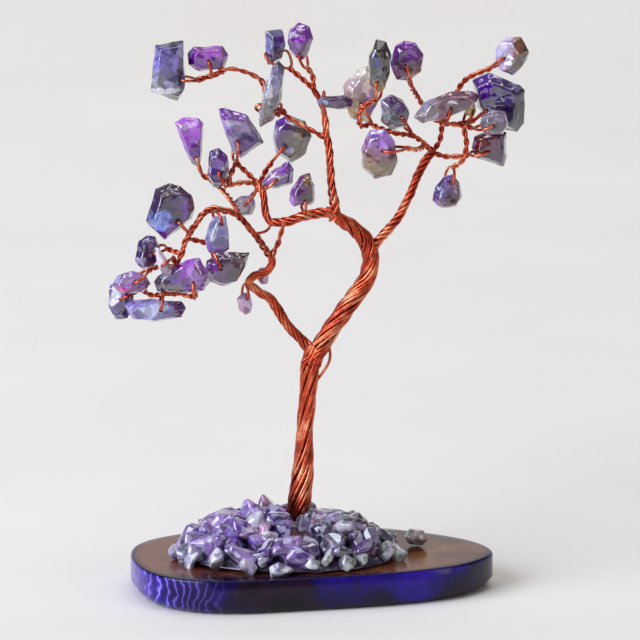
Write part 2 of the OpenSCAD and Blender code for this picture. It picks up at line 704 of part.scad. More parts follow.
module leaf_kite() {
  stone(kite, [[-4, 4.2], [-2.8, 4.4], [1, 2.8], [3.4, -0.6], [4, -2], [0, -4.4], [-1.4, -3.6], [-3, 0.8]],
    3.4, [0.68, 0, 0], [0.6, 0, 0]);
}

module leaf_olive() {
  stone(olive, [[-2.6, 3], [-0.6, 4.2], [2.4, 3.2], [3.5, 0.6], [2.4, -2.6], [0, -4.2], [-2.6, -2.6],
    [-3.2, 0]],
    3.6, [0.68, 0, 0.1], [0.6, 0, 0]);
}

module leaf_triangle() {
  stone(triangle, [[-2.8, -1], [-0.6, 1], [1.8, 2.4], [2.7, 1], [2.5, -1.4], [0, -2.3], [-2.2, -2]],
    2.8, [0.66, 0, 0], [0.6, 0, 0]);
}

module leaf_milky() {
  stone(milky, [[-1.8, 0.6], [-0.4, 1.8], [1.5, 1.9], [2, 0], [1.4, -1.6], [-0.4, -1.9], [-1.6, -0.8]],
    2.4, [0.66, 0, 0], [0.6, 0, 0]);
}

module leaf_arch() {
  stone(arch, [[-2.3, -1.6], [-2, 0.6], [-0.4, 2.6], [1.2, 3], [1.9, 1], [2.1, -2], [1.4, -2.7],
    [-1.6, -2.6]],
    3, [0.7, 0, 0], [0.6, 0.1, 0]);
}

module leaf_left_hood() {
  stone(left_hood, [[-2.5, 4.2], [-0.2, 5], [1.6, 4.6], [3.5, 2.8], [4.1, 0.4], [3.6, -1.2], [-1, -4.6],
    [-2, -3.6], [-4.2, -1.2]],
    4.2, [0.72, -0.2, 0], [0.6, 0.2, 0.2]);
}

module leaf_left_dark() {
  stone(left_dark, [[-1.6, 2.2], [-0.2, 3.1], [1.4, 2.8], [2.2, 0.8], [2.1, -1.2], [0.8, -2.9],
    [-1, -2.9], [-2.3, -1.2]],
    3, [0.68, 0, 0], [0.6, 0, 0]);
}

module leaf_left_point() {
  stone(left_point, [[-1.5, 2.4], [-0.8, 2.5], [0.9, 0.2], [1.6, -1.2], [1.4, -2.2], [0.2, -2.4],
    [-0.9, -0.8]],
    1.6, [0.7, 0, 0], [0.6, 0, 0]);
}

module leaf_left_pink() {
  stone(left_pink, [[-3.2, -0.4], [-2.4, 1.4], [0.2, 2], [2.6, 1.2], [3.4, -0.4], [2, -1.9], [-1.6, -2]],
    2.8, [0.7, 0, 0], [0.6, 0, 0]);
}

module leaf_left_white() {
  stone(left_white, [[-2, 2.6], [0, 3.3], [2, 1.6], [2.2, -1.2], [1, -3.1], [-1, -3.3], [-2.2, -1.6]],
    3, [0.74, -0.1, 0.2], [0.6, 0, 0]);
}

module leaf_left_boat() {
  stone(left_boat, [[-5.2, 0.8], [-4, 1.8], [0.6, 1.6], [4.4, 1.2], [5.2, 0], [4.4, -1.5], [0, -2.1],
    [-3.6, -1.7]],
    3, [0.74, -0.4, 0], [0.62, 0, 0]);
}

module leaf_left_lilac() {
  stone(left_lilac, [[-4.8, -1], [-4.2, 0], [-0.8, 1.8], [0.8, 2.9], [2.9, 3.2], [4.4, 0.8], [4.5, -1],
    [3.6, -2.3], [0.6, -3], [-4.2, -2.6]],
    2.8, [0.7, 0, 0], [0.6, 0, 0]);
}

module leaf_left_mauve() {
  stone(left_mauve, [[-3.6, 1.6], [-1.4, 2.8], [3.9, 2.7], [3, 0.2], [1.6, -2.2], [-0.8, -3],
    [-3.2, -2.2], [-3.9, 0]],
    3.2, [0.7, -0.2, 0], [0.6, 0, 0]);
}

module leaf_left_blue() {
  stone(left_blue, [[-0.8, 3.2], [1.4, 3.2], [2, 0], [2.2, -2.6], [0.8, -3.4], [-1.6, -3], [-2.2, -0.8],
    [-1.6, 1.8]],
    3, [0.7, 0, 0], [0.6, 0, 0]);
}

module leaf_left_drop() {
  stone(left_drop, [[-1.4, 0.8], [-0.5, 1.8], [0.9, 1.7], [1.5, -0.4], [1.1, -1.8], [0, -2.1], [-1.1, -1.1]],
    2, [0.66, 0, 0], [0.6, 0, 0]);
}

module leaf_left_bud() {
  stone(left_bud, [[-0.8, 1.3], [0.4, 1.6], [1.1, 0.4], [0.9, -1.2], [-0.2, -1.6], [-1.1, -0.4]],
    1.6, [0.66, 0, 0], [0.6, 0, 0]);
}

// ---- drawn nodes ----

base_slice();
glue_bed();
root_wires();
bed_chips_rim();
bed_chips_lower();
bed_chips_upper();
bed_chips_crown();
bed_chip_loose();
trunk();
trunk_loop();
branch_left_lower();
branch_left_arm();
branch_left_riser();
branch_right_lower();
branch_right_arch();
branch_upper_left();
branch_top();
branch_right_side();
branch_far_left();
twigs_left();
twigs_middle();
twigs_top();
twigs_right();
loose_leaf_pins();
leaf_far_left_tall();
leaf_far_left_flat();
leaf_top_grey();
leaf_top_round();
leaf_top_long();
leaf_top_bar();
leaf_pale_quartz();
leaf_dark_oval();
leaf_disc();
leaf_smoky();
leaf_two_tone();
leaf_right_tip();
leaf_right_block();
leaf_right_long();
leaf_right_grey();
leaf_right_plum();
leaf_right_sliver();
leaf_right_drop();
leaf_wedge();
leaf_dark_middle();
leaf_kite();
leaf_olive();
leaf_triangle();
leaf_milky();
leaf_arch();
leaf_left_hood();
leaf_left_dark();
leaf_left_point();
leaf_left_pink();
leaf_left_white();
leaf_left_boat();
leaf_left_lilac();
leaf_left_mauve();
leaf_left_blue();
leaf_left_drop();
leaf_left_bud();
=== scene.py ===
# Gem tree: twisted copper wire tree with tumbled amethyst leaves on a polished, dyed agate slice.
# Metres, same frame as the parts: origin at the centre of the slice's underside, +Z up, front at -Y.
import math
import random

import bpy
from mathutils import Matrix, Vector


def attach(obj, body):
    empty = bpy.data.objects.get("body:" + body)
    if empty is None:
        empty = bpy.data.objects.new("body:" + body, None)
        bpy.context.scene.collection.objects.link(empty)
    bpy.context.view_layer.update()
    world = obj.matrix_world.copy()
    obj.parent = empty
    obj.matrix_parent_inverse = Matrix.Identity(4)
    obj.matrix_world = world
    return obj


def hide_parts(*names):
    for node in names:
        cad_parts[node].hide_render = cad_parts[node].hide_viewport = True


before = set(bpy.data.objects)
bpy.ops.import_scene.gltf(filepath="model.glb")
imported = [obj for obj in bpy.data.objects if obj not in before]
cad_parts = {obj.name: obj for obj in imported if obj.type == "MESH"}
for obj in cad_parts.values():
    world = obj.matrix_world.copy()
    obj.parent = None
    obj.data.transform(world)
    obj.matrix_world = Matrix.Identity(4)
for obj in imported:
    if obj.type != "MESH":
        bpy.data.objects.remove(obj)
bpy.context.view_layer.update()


# ======================= the slice =======================
# A slab sawn from a banded agate nodule, dyed violet and polished by machine.
# Its rim is ground straight with a small bevel; the faces are flat and shine like glass.

def mm(value):
    return value * 0.001


def hex_linear(code, alpha=1.0):
    parts = [int(code[i:i + 2], 16) / 255 for i in (1, 3, 5)]
    return tuple(p / 12.92 if p <= 0.04045 else ((p + 0.055) / 1.055) ** 2.4 for p in parts) + (alpha,)


def alone(obj):
    """Only this object is selected and active."""
    bpy.ops.object.select_all(action="DESELECT")
    obj.select_set(True)
    bpy.context.view_layer.objects.active = obj


def node(tree, kind, settings=None, links=None):
    """Adds a shader node, sets its values and links its inputs."""
    made = tree.nodes.new(kind)
    for key, value in (settings or {}).items():
        if isinstance(key, int) or key in made.inputs:
            made.inputs[key].default_value = value
        else:
            setattr(made, key, value)
    for key, source in (links or {}).items():
        tree.links.new(source, made.inputs[key])
    return made


def new_material(name):
    """An empty material with its output, ready for a shader."""
    mat = bpy.data.materials.new(name)
    mat.use_nodes = True
    mat.node_tree.nodes.clear()
    return mat, mat.node_tree


def finish_material(tree, shader):
    out = node(tree, "ShaderNodeOutputMaterial")
    tree.links.new(shader.outputs[0], out.inputs["Surface"])


def ramp(tree, source, stops):
    """Colour ramp from (place, hex colour) stops."""
    made = node(tree, "ShaderNodeValToRGB", links={"Fac": source})
    line = made.color_ramp
    line.elements[0].position, line.elements[0].color = stops[0][0], hex_linear(stops[0][1])
    line.elements[1].position, line.elements[1].color = stops[-1][0], hex_linear(stops[-1][1])
    for place, code in stops[1:-1]:
        line.elements.new(place).color = hex_linear(code)
    return made


def noise(tree, where, size_mm, detail=3.0, rough=0.5, distort=0.0):
    """Noise whose lumps are about size_mm across."""
    return node(tree, "ShaderNodeTexNoise",
                {"Scale": 1000.0 / size_mm, "Detail": detail, "Roughness": rough, "Distortion": distort},
                {"Vector": where})


def mixed(tree, fac, a, b, mode="MIX"):
    made = tree.nodes.new("ShaderNodeMix")
    made.data_type = "RGBA"
    made.blend_type = mode
    for socket, value in ((made.inputs[0], fac), (made.inputs[6], a), (made.inputs[7], b)):
        if hasattr(value, "is_output"):
            tree.links.new(value, socket)
        else:
            socket.default_value = value
    return made.outputs[2]


def copy_of_node(node_name, piece_name):
    """A new piece with its own merged copy of a CAD node's mesh."""
    piece = bpy.data.objects.new(piece_name, bpy.data.objects[node_name].data.copy())
    bpy.context.scene.collection.objects.link(piece)
    piece.data.materials.clear()
    alone(piece)
    bpy.ops.object.mode_set(mode="EDIT")
    bpy.ops.mesh.select_all(action="SELECT")
    bpy.ops.mesh.remove_doubles(threshold=mm(0.002))
    bpy.ops.object.mode_set(mode="OBJECT")
    return piece


def add_modifier(piece, kind, **settings):
    """Adds a modifier, sets it and applies it."""
    alone(piece)
    made = piece.modifiers.new(kind.lower(), kind)
    for key, value in settings.items():
        setattr(made, key, value)
    bpy.ops.object.modifier_apply(modifier=made.name)


def smooth_shade(piece, degrees=40):
    alone(piece)
    bpy.ops.object.shade_smooth_by_angle(angle=math.radians(degrees))


def slice_material():
    # dyed agate: near-black violet with bright blue-violet bands in the rim, brown and maroon clouds in the
    # face; painted light on the rim's left end and painted shade and reflection of the heap on the front of
    # the face
    mat, tree = new_material("dyed_agate")
    place = node(tree, "ShaderNodeTexCoord").outputs["Object"]
    split = node(tree, "ShaderNodeSeparateXYZ", links={"Vector": place})
    bend = noise(tree, place, 7, 3, 0.55)
    bent = node(tree, "ShaderNodeVectorMath", {"operation": "MULTIPLY_ADD", 1: (0.005, 0.005, 0.003)},
                {0: bend.outputs["Color"], 2: place})
    bands = node(tree, "ShaderNodeTexWave",
                 {"bands_direction": "X", "Scale": 240.0, "Distortion": 9.0, "Detail": 3.0,
                  "Detail Scale": 0.7},
                 {"Vector": bent.outputs[0]})
    clouds = noise(tree, place, 13, 4, 0.55)
    rim_dark = ramp(tree, clouds.outputs["Fac"],
                    [(0.36, "#04010E"), (0.47, "#1E0624"), (0.52, "#0E0434"), (0.62, "#1E0A74"),
                     (0.76, "#3214A4")])
    band_tone = ramp(tree, bands.outputs["Fac"],
                     [(0.0, "#140752"), (0.5, "#24108A"), (0.78, "#3A20B4"), (0.93, "#5E48C8"),
                      (1.0, "#9A8AE0")])
    left = node(tree, "ShaderNodeMapRange", {"From Min": -0.014, "From Max": -0.023},
                {"Value": split.outputs["X"]})
    spotty = node(tree, "ShaderNodeMath", {"operation": "MULTIPLY_ADD", 1: 1.6, 2: -0.1, "use_clamp": True},
                  {0: noise(tree, place, 6, 2).outputs["Fac"]})
    banded = node(tree, "ShaderNodeMath", {"operation": "MULTIPLY", "use_clamp": True},
                  {0: left.outputs[0], 1: spotty.outputs[0]})
    rim = mixed(tree, banded.outputs[0], rim_dark.outputs["Color"], band_tone.outputs["Color"])
    # painted light: the left end of the rim, turned towards the lamp, is mixed towards pale lavender
    far_left = node(tree, "ShaderNodeMapRange", {"From Min": -0.0255, "From Max": -0.0295, "To Max": 0.75},
                    {"Value": split.outputs["X"]})
    rim = mixed(tree, far_left.outputs[0], rim, hex_linear("#5A3E9A"))
    marble = noise(tree, place, 12, 5, 0.6, 0.8)
    face = ramp(tree, marble.outputs["Fac"],
                [(0.3, "#200A14"), (0.42, "#3E1A16"), (0.52, "#54281C"), (0.6, "#6A3A20"), (0.7, "#7E4E22"),
                 (0.82, "#34181C")])
    rosy = node(tree, "ShaderNodeMapRange", {"From Min": -0.016, "From Max": -0.028, "To Max": 0.6},
                {"Value": split.outputs["X"]})
    face_left = mixed(tree, rosy.outputs[0], face.outputs["Color"], hex_linear("#7E3A34"))
    # painted shade and reflection of the heap: the front of the top face is mixed towards near-black violet
    shadowed = node(tree, "ShaderNodeMapRange", {"From Min": -0.0125, "From Max": -0.0165, "To Max": 0.85},
                    {"Value": split.outputs["Y"]})
    face_with_painted_heap_shade = mixed(tree, shadowed.outputs[0], face_left, hex_linear("#120624"))
    edge_dark = node(tree, "ShaderNodeAttribute", {"attribute_name": "rimness"})
    face_rim = mixed(tree, edge_dark.outputs["Fac"], face_with_painted_heap_shade, hex_linear("#10052E"))
    level = node(tree, "ShaderNodeMapRange", {"From Min": mm(5.75), "From Max": mm(5.9)},
                 {"Value": split.outputs["Z"]})
    colour = mixed(tree, level.outputs[0], rim, face_rim)
    scratches = noise(tree, place, 0.7, 2)
    rough = node(tree, "ShaderNodeMapRange", {"To Min": 0.1, "To Max": 0.24},
                 {"Value": clouds.outputs["Fac"]})
    bump = node(tree, "ShaderNodeBump", {"Strength": 0.05, "Distance": mm(0.05)},
                {"Height": scratches.outputs["Fac"]})
    shader = node(tree, "ShaderNodeBsdfPrincipled", {"IOR": 1.5, "Specular IOR Level": 0.3},
                  {"Base Color": colour, "Roughness": rough.outputs[0], "Normal": bump.outputs[0]})
    finish_material(tree, shader)
    return mat


slab = copy_of_node("base_slice", "polished_slice")
add_modifier(slab, "BEVEL", width=mm(0.35), segments=3, limit_method="ANGLE", angle_limit=math.radians(35))
RIM_BAND = mm(1.3)
bpy.ops.object.mode_set(mode="EDIT")
bpy.ops.mesh.select_all(action="DESELECT")
bpy.ops.object.mode_set(mode="OBJECT")
for polygon in slab.data.polygons:
    polygon.select = polygon.normal.z > 0.99 and polygon.center.z > mm(5.9)
bpy.ops.object.mode_set(mode="EDIT")
bpy.ops.mesh.select_mode(type="FACE")
bpy.ops.mesh.dissolve_faces()
bpy.ops.mesh.inset(thickness=RIM_BAND)
bpy.ops.object.mode_set(mode="OBJECT")
inner = {v for polygon in slab.data.polygons if polygon.select for v in polygon.vertices}
rimness = slab.data.attributes.new("rimness", "FLOAT", "POINT")
for k, spot in enumerate(rimness.data):
    spot.value = 0.0 if k in inner else 1.0
add_modifier(slab, "TRIANGULATE")
smooth_shade(slab, 30)
slab.data.materials.append(slice_material())
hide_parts("base_slice")
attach(slab, "tree")


# ======================= the glue under the stones =======================
# Clear epoxy poured over the foot of the wire. It shows only as wet gaps between the stones,
# and its dark violet colour is painted shade for those gaps.

def glue_material():
    mat, tree = new_material("set_glue")
    place = node(tree, "ShaderNodeTexCoord").outputs["Object"]
    lumps = noise(tree, place, 2.2, 3)
    # dark violet tones: painted shade in the gaps between the stones
    tint = ramp(tree, lumps.outputs["Fac"], [(0.3, "#1B1226"), (0.55, "#3A2A4A"), (0.8, "#6A5A70")])
    bump = node(tree, "ShaderNodeBump", {"Strength": 0.5, "Distance": mm(0.4)},
                {"Height": lumps.outputs["Fac"]})
    shader = node(tree, "ShaderNodeBsdfPrincipled", {"Roughness": 0.16, "IOR": 1.5, "Coat Weight": 0.6},
                  {"Base Color": tint.outputs["Color"], "Normal": bump.outputs[0]})
    finish_material(tree, shader)
    return mat


glue = copy_of_node("glue_bed", "set_glue")
add_modifier(glue, "SUBSURF", levels=2, render_levels=2)
glue_lumps = bpy.data.textures.new("glue_lumps", "CLOUDS")
glue_lumps.noise_scale = mm(2.5)
add_modifier(glue, "DISPLACE", texture=glue_lumps, strength=mm(0.7), mid_level=0.6, texture_coords="LOCAL")
smooth_shade(glue, 60)
glue.data.materials.append(glue_material())
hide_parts("glue_bed")
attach(glue, "tree")


# ======================= the bed of small stones =======================
# Small tumbled chips of amethyst and clear quartz, poured on the wet glue and pressed down by hand.
# Pale, greyish stones lie at the front foot of the heap, violet ones on the left, mauve ones on the right.

def bed_variant(key):
    """One tumbled chip about 2 units across: a cube cut by random flats, its edges worn round."""
    dice = random.Random(key)
    bpy.ops.object.select_all(action="DESELECT")
    bpy.ops.mesh.primitive_cube_add(size=2)
    chip = bpy.context.active_object
    bpy.ops.object.mode_set(mode="EDIT")
    for cut in range(9):
        way = Vector((dice.uniform(-1, 1), dice.uniform(-1, 1), dice.uniform(-1, 1))).normalized()
        bpy.ops.mesh.select_all(action="SELECT")
        bpy.ops.mesh.bisect(plane_co=way * dice.uniform(0.72, 0.98), plane_no=way, use_fill=True,
                            clear_outer=True)
    bpy.ops.mesh.select_all(action="SELECT")
    bpy.ops.mesh.remove_doubles(threshold=0.02)
    bpy.ops.mesh.normals_make_consistent(inside=False)
    bpy.ops.object.mode_set(mode="OBJECT")
    add_modifier(chip, "REMESH", mode="VOXEL", voxel_size=0.17)
    add_modifier(chip, "SMOOTH", factor=0.5, iterations=3)
    return chip


def bed_stone_material():
    # tumbled quartz: glassy, milky in places, tinted stone by stone, with painted light and shade in
    # polygonal zones for facets inside and painted bluish white glints
    mat, tree = new_material("bed_stones")
    place = node(tree, "ShaderNodeTexCoord").outputs["Object"]
    tone = node(tree, "ShaderNodeAttribute", {"attribute_name": "stone_tone"})
    veils = noise(tree, place, 1.8, 4, 0.6, 0.6)
    milk = node(tree, "ShaderNodeMapRange", {"From Min": 0.5, "From Max": 0.78, "To Max": 0.6},
                {"Value": veils.outputs["Fac"]})
    zone = noise(tree, place, 2.4, 2)
    deep = node(tree, "ShaderNodeMapRange", {"From Min": 0.42, "From Max": 0.66, "To Max": 0.85},
                {"Value": zone.outputs["Fac"]})
    darker = mixed(tree, deep.outputs[0], tone.outputs["Color"], hex_linear("#6A4A9A"), "MULTIPLY")
    veiled = mixed(tree, milk.outputs[0], darker, hex_linear("#D4CAE6"))
    # painted light and shade: Voronoi cells lighten or darken the colour like facets inside catching the
    # light, and a few become painted glints
    inside = node(tree, "ShaderNodeTexVoronoi", {"Scale": 900.0}, {"Vector": place})
    facet = node(tree, "ShaderNodeSeparateColor", links={"Color": inside.outputs["Color"]})
    painted_facet_light = node(tree, "ShaderNodeMapRange", {"To Min": 0.3, "To Max": 1.35}, {"Value": facet.outputs["Red"]})
    colour_with_painted_facet_light = node(tree, "ShaderNodeVectorMath", {"operation": "SCALE"}, {0: veiled, 3: painted_facet_light.outputs[0]})
    painted_glint = node(tree, "ShaderNodeMapRange", {"From Min": 0.8, "From Max": 0.86, "To Max": 0.6},
                 {"Value": facet.outputs["Green"]})
    colour = mixed(tree, painted_glint.outputs[0], colour_with_painted_facet_light.outputs[0], hex_linear("#D6D4F2"))
    rough = node(tree, "ShaderNodeMapRange", {"To Min": 0.06, "To Max": 0.22},
                 {"Value": veils.outputs["Fac"]})
    pits = noise(tree, place, 0.5, 2)
    bump = node(tree, "ShaderNodeBump", {"Strength": 0.1, "Distance": mm(0.06)},
                {"Height": pits.outputs["Fac"]})
    shader = node(tree, "ShaderNodeBsdfPrincipled",
                  {"IOR": 1.544, "Transmission Weight": 0.2, "Coat Weight": 0.9, "Coat IOR": 1.8,
                   "Coat Roughness": 0.05},
                  {"Base Color": colour, "Roughness": rough.outputs[0], "Normal": bump.outputs[0]})
    finish_material(tree, shader)
    return mat


def bed_tone(x, y, ring, dice):
    """Colour of a stone from where it lies in the heap (mm from the middle of the heap)."""
    pale = ["#D4D8DA", "#C4CCC2", "#E2E0EA", "#B4BAC6", "#CFC6CC"]
    violet = ["#8458BC", "#6E3EA6", "#9E74CC", "#B48CD8", "#5E2E96", "#8E62B8", "#C48CBC", "#A884C8"]
    mauve = ["#6E5680", "#553E6A", "#84709A", "#402A58", "#9A86A4", "#5E3E88", "#C8C0D0"]
    dusky = ["#3A2450", "#4A3060", "#5C4668", "#2E1A4A"]
    if ring > 0.88 and y < 3:
        return dice.choice(pale)
    if x > 3 and y > 0:
        return dice.choice(dusky + mauve[:2])
    if x < 2.5:
        return dice.choice(violet + pale[2:3])
    return dice.choice(mauve)


BED_MIDDLE = (-4.0, -2.6)
BED_HALF = (19.0, 12.6)
SLICE_TOP = 6.0
bed_dice = random.Random(41)
variants = [bed_variant(900 + k) for k in range(8)]
bed_mat = bed_stone_material()
heap = {"rim": [], "lower": [], "upper": [], "crown": []}
BED_COUNT = 128
GOLDEN_TURN = 2.39996
HEAP_HEIGHT = 6.6
TRUNK_IN_BED = (1.8, 2.6)
TRUNK_CLEAR = 2.4
for k in range(BED_COUNT):
    ring = math.sqrt((k + 0.5) / BED_COUNT)
    turn = k * GOLDEN_TURN + bed_dice.uniform(-0.1, 0.1)
    x = BED_HALF[0] * ring * math.cos(turn)
    y = BED_HALF[1] * ring * math.sin(turn)
    if math.hypot(x - TRUNK_IN_BED[0], y - TRUNK_IN_BED[1]) < TRUNK_CLEAR:
        continue
    lift = HEAP_HEIGHT * (1 - ring ** 2.2) + 0.9
    if -8.5 < y < 3.5:
        # the stones part in front of the trunk and leave its foot in sight
        lift *= 1 - 0.55 * max(0, 1 - abs(x - TRUNK_IN_BED[0]) / 4.2)
    layer = "rim" if ring > 0.86 else "lower" if ring > 0.64 else "upper" if ring > 0.4 else "crown"
    heap[layer].append((k, x, y, ring, lift))
for layer, stones in heap.items():
    made = []
    for k, x, y, ring, lift in stones:
        base = variants[k % len(variants)]
        stone = bpy.data.objects.new("bed_stone", base.data.copy())
        bpy.context.scene.collection.objects.link(stone)
        size = bed_dice.uniform(1.7, 2.6) * (0.75 if ring > 0.88 else 1.12 if x < 2 else 1.0)
        lean = Vector((x / BED_HALF[0], y / BED_HALF[1], 0)) * 0.6
        stone.rotation_euler = (-lean.y + bed_dice.uniform(-0.6, 0.6), lean.x + bed_dice.uniform(-0.6, 0.6),
                                bed_dice.uniform(0, 6.28))
        stone.scale = [mm(size) * s for s in (1.0, bed_dice.uniform(0.7, 0.95), bed_dice.uniform(0.55, 0.8))]
        stone.location = (mm(BED_MIDDLE[0] + x), mm(BED_MIDDLE[1] + y), mm(SLICE_TOP + lift))
        tint = stone.data.color_attributes.new("stone_tone", "FLOAT_COLOR", "POINT")
        colour = hex_linear(bed_tone(x, y, ring, bed_dice))
        for spot in tint.data:
            spot.color = colour
        made.append(stone)
    bpy.ops.object.select_all(action="DESELECT")
    for stone in made:
        stone.select_set(True)
    bpy.context.view_layer.objects.active = made[0]
    bpy.ops.object.join()
    piece = bpy.context.active_object
    bpy.ops.object.transform_apply(location=True, rotation=True, scale=True)
    piece.name = "bed_stones_" + layer
    smooth_shade(piece, 42)
    piece.data.materials.append(bed_mat)
    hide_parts("bed_chips_" + layer)
    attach(piece, "tree")
for spare in variants:
    bpy.data.objects.remove(spare)

loose = copy_of_node("bed_chip_loose", "bed_stone_apart")
add_modifier(loose, "REMESH", mode="VOXEL", voxel_size=mm(0.14))
add_modifier(loose, "SMOOTH", factor=0.5, iterations=8)
tint = loose.data.color_attributes.new("stone_tone", "FLOAT_COLOR", "POINT")
for spot in tint.data:
    spot.color = hex_linear("#B9A9A4")
smooth_shade(loose, 50)
loose.data.materials.append(bed_mat)
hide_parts("bed_chip_loose")
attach(loose, "tree")


# ======================= the trunk and its roots =======================
# Soft copper wire, 0.5 mm, with a red-brown enamel: a bundle of strands twisted together by hand.
# Under the stones the strands are spread out flat and buried in the glue.

WIRE = 0.25


def copper_material():
    # enamelled copper: orange-red metal under a thin clear coat, a little scuffed by the pliers;
    # near the stones it is dark and maroon
    mat, tree = new_material("enamelled_copper")
    place = node(tree, "ShaderNodeTexCoord").outputs["Object"]
    patches = noise(tree, place, 3.5, 3, 0.6)
    colour = ramp(tree, patches.outputs["Fac"], [(0.32, "#962814"), (0.5, "#C84E2C"), (0.7, "#F0A076")])
    height = node(tree, "ShaderNodeSeparateXYZ", links={"Vector": place})
    # darker and more maroon towards the foot, near the stones
    foot = node(tree, "ShaderNodeMapRange", {"From Min": mm(19), "From Max": mm(11), "To Max": 0.75},
                {"Value": height.outputs["Z"]})
    darker_towards_foot = mixed(tree, foot.outputs[0], colour.outputs["Color"], hex_linear("#6A1612"))
    scuffs = noise(tree, place, 0.5, 3)
    rough = node(tree, "ShaderNodeMapRange",
                 {"From Min": 0.3, "From Max": 0.75, "To Min": 0.2, "To Max": 0.4},
                 {"Value": scuffs.outputs["Fac"]})
    bump = node(tree, "ShaderNodeBump", {"Strength": 0.12, "Distance": mm(0.03)},
                {"Height": scuffs.outputs["Fac"]})
    shader = node(tree, "ShaderNodeBsdfPrincipled",
                  {"Metallic": 1.0, "Coat Weight": 0.4, "Coat Roughness": 0.08},
                  {"Base Color": darker_towards_foot, "Roughness": rough.outputs[0], "Normal": bump.outputs[0]})
    finish_material(tree, shader)
    return mat


copper = copper_material()


def spline_through(points, step=0.35):
    """Evenly spaced points (mm) on a smooth line through the given ones."""
    pts = [Vector(p) for p in points]
    ends = [pts[0] * 2 - pts[1]] + pts + [pts[-1] * 2 - pts[-2]]
    fine = []
    for i in range(1, len(ends) - 2):
        a, b, c, d = ends[i - 1:i + 3]
        count = max(2, int((c - b).length / 0.12))
        for s in range(count):
            t = s / count
            fine.append(0.5 * (2 * b + (c - a) * t + (2 * a - 5 * b + 4 * c - d) * t * t
                               + (3 * b - a - 3 * c + d) * t ** 3))
    fine.append(pts[-1])
    line = [fine[0]]
    walked = 0.0
    for before, after in zip(fine, fine[1:]):
        walked += (after - before).length
        if walked >= step:
            line.append(after)
            walked = 0.0
    if (line[-1] - fine[-1]).length > step * 0.3:
        line.append(fine[-1])
    return line


def frames_along(line, start=None):
    """A pair of side directions at each point, carried along without twisting."""
    result = []
    side = Vector(start) if start is not None else Vector((0.1, 1, 0.05))
    for i in range(len(line)):
        ahead = (line[min(i + 1, len(line) - 1)] - line[max(i - 1, 0)]).normalized()
        side = (side - ahead * side.dot(ahead)).normalized()
        result.append((side.copy(), ahead.cross(side)))
    return result


def wires(name, routes, radius=WIRE, sides=2, nodes=()):
    """One piece of round wire along each route (mm); a route is a list of points."""
    curve = bpy.data.curves.new(name, "CURVE")
    curve.dimensions = "3D"
    curve.bevel_depth = mm(radius)
    curve.bevel_resolution = sides
    curve.use_fill_caps = True
    for route in routes:
        line = curve.splines.new("POLY")
        line.points.add(len(route) - 1)
        for spot, p in zip(line.points, route):
            spot.co = (mm(p[0]), mm(p[1]), mm(p[2]), 1)
    piece = bpy.data.objects.new(name, curve)
    bpy.context.scene.collection.objects.link(piece)
    alone(piece)
    bpy.ops.object.convert(target="MESH")
    piece = bpy.context.active_object
    smooth_shade(piece, 70)
    piece.data.materials.append(copper)
    if nodes:
        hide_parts(*nodes)
    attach(piece, "tree")
    return piece


def bundle(path, radii, pitch, key, count=None, step=0.4, wander=0.09, close=True):
    """Routes of the strands of a twisted bundle; radii are the bundle's outer radius along the path."""
    dice = random.Random(key)
    line = spline_through(path, step)
    sides = frames_along(line)
    last = len(line) - 1
    stations = len(radii) - 1

    def outer(i):
        at = i / last * stations
        low = min(int(at), stations - 1)
        return radii[low] + (radii[low + 1] - radii[low]) * (at - low)

    middle = sum(radii) / len(radii)
    if count is None:
        count = max(3, int(2 * math.pi * (middle - WIRE) / (2 * WIRE * 0.98)))
    routes = []
    for n in range(count):
        waves = [(dice.uniform(0.15, 0.5), dice.uniform(0, 6.28)) for _ in range(3)]
        route = []
        for i, p in enumerate(line):
            s = i * step
            sway = sum(math.sin(s * w + o) for w, o in waves) / 3
            turn = 2 * math.pi * (n / count + s / pitch) + sway * wander * 2.2
            reach = max(outer(i) - WIRE, 0.24) + wander * math.sin(s * waves[0][0] * 1.7 + waves[1][1])
            route.append(p + (sides[i][0] * math.cos(turn) + sides[i][1] * math.sin(turn)) * reach)
        routes.append(route)
    if close and middle > 0.62:
        heart = max(0.25, middle - 2 * WIRE)
        inner = max(1, int(heart / 0.42) * 3) if heart > 0.3 else 1
        for n in range(inner):
            routes.append([p + (sides[i][0] * math.cos(2 * math.pi * (n / inner + i * step / pitch))
                                + sides[i][1] * math.sin(2 * math.pi * (n / inner + i * step / pitch)))
                           * (heart * 0.55 if inner > 1 else 0) for i, p in enumerate(line)])
    return routes


wires("trunk_strands", bundle(
    [(-2.2, 0, 6.4), (-2.2, 0, 11.8), (-1.9, 0, 15.6), (-1.5, 0, 18.6), (-1.3, 0, 21.6), (-1, 0, 27.7),
     (-0.5, 0, 33.9), (-0.2, 0, 38.2), (0.6, 0, 41.8)],
    [1.5, 1.7, 1.95, 1.8, 1.55, 1.4, 1.45, 1.6, 1.5], 26, 11), nodes=["trunk"])

wires("stray_strand", [spline_through(
    [(0.6, -0.3, 34.6), (0.9, 0, 35.6), (2.1, 0, 37.3), (3, 0, 38.9), (3.2, 0, 40.4), (2.9, 0, 41.8),
     (2.4, 0, 43.2)])],
    nodes=["trunk_loop"])

root_routes = []
for turn, far, end in ((-150, 10, 0.5), (-82, 9.5, 1.7), (-34, 15.5, 1.8), (15, 10, 0.5), (75, 10, 0.5),
                       (130, 10, 0.5)):
    c, s = math.cos(math.radians(turn)), math.sin(math.radians(turn))
    root_routes.append(spline_through([
        (-2.2 + 1.1 * c, 1.1 * s, 12.4), (-2.2 + 2 * c, 2 * s, 10.2),
        (-2.2 + 0.55 * far * c, 0.46 * far * s, 8.6), (-2.2 + far * c, 0.8 * far * s, SLICE_TOP + end)]))
wires("root_strands", root_routes, nodes=["root_wires"])


# ======================= the branches =======================
# The trunk's strands divide into thinner bundles, each twisted on its own and bent to shape.
# The right-hand bundle is thick and curves over into an arch that feeds most of the crown.

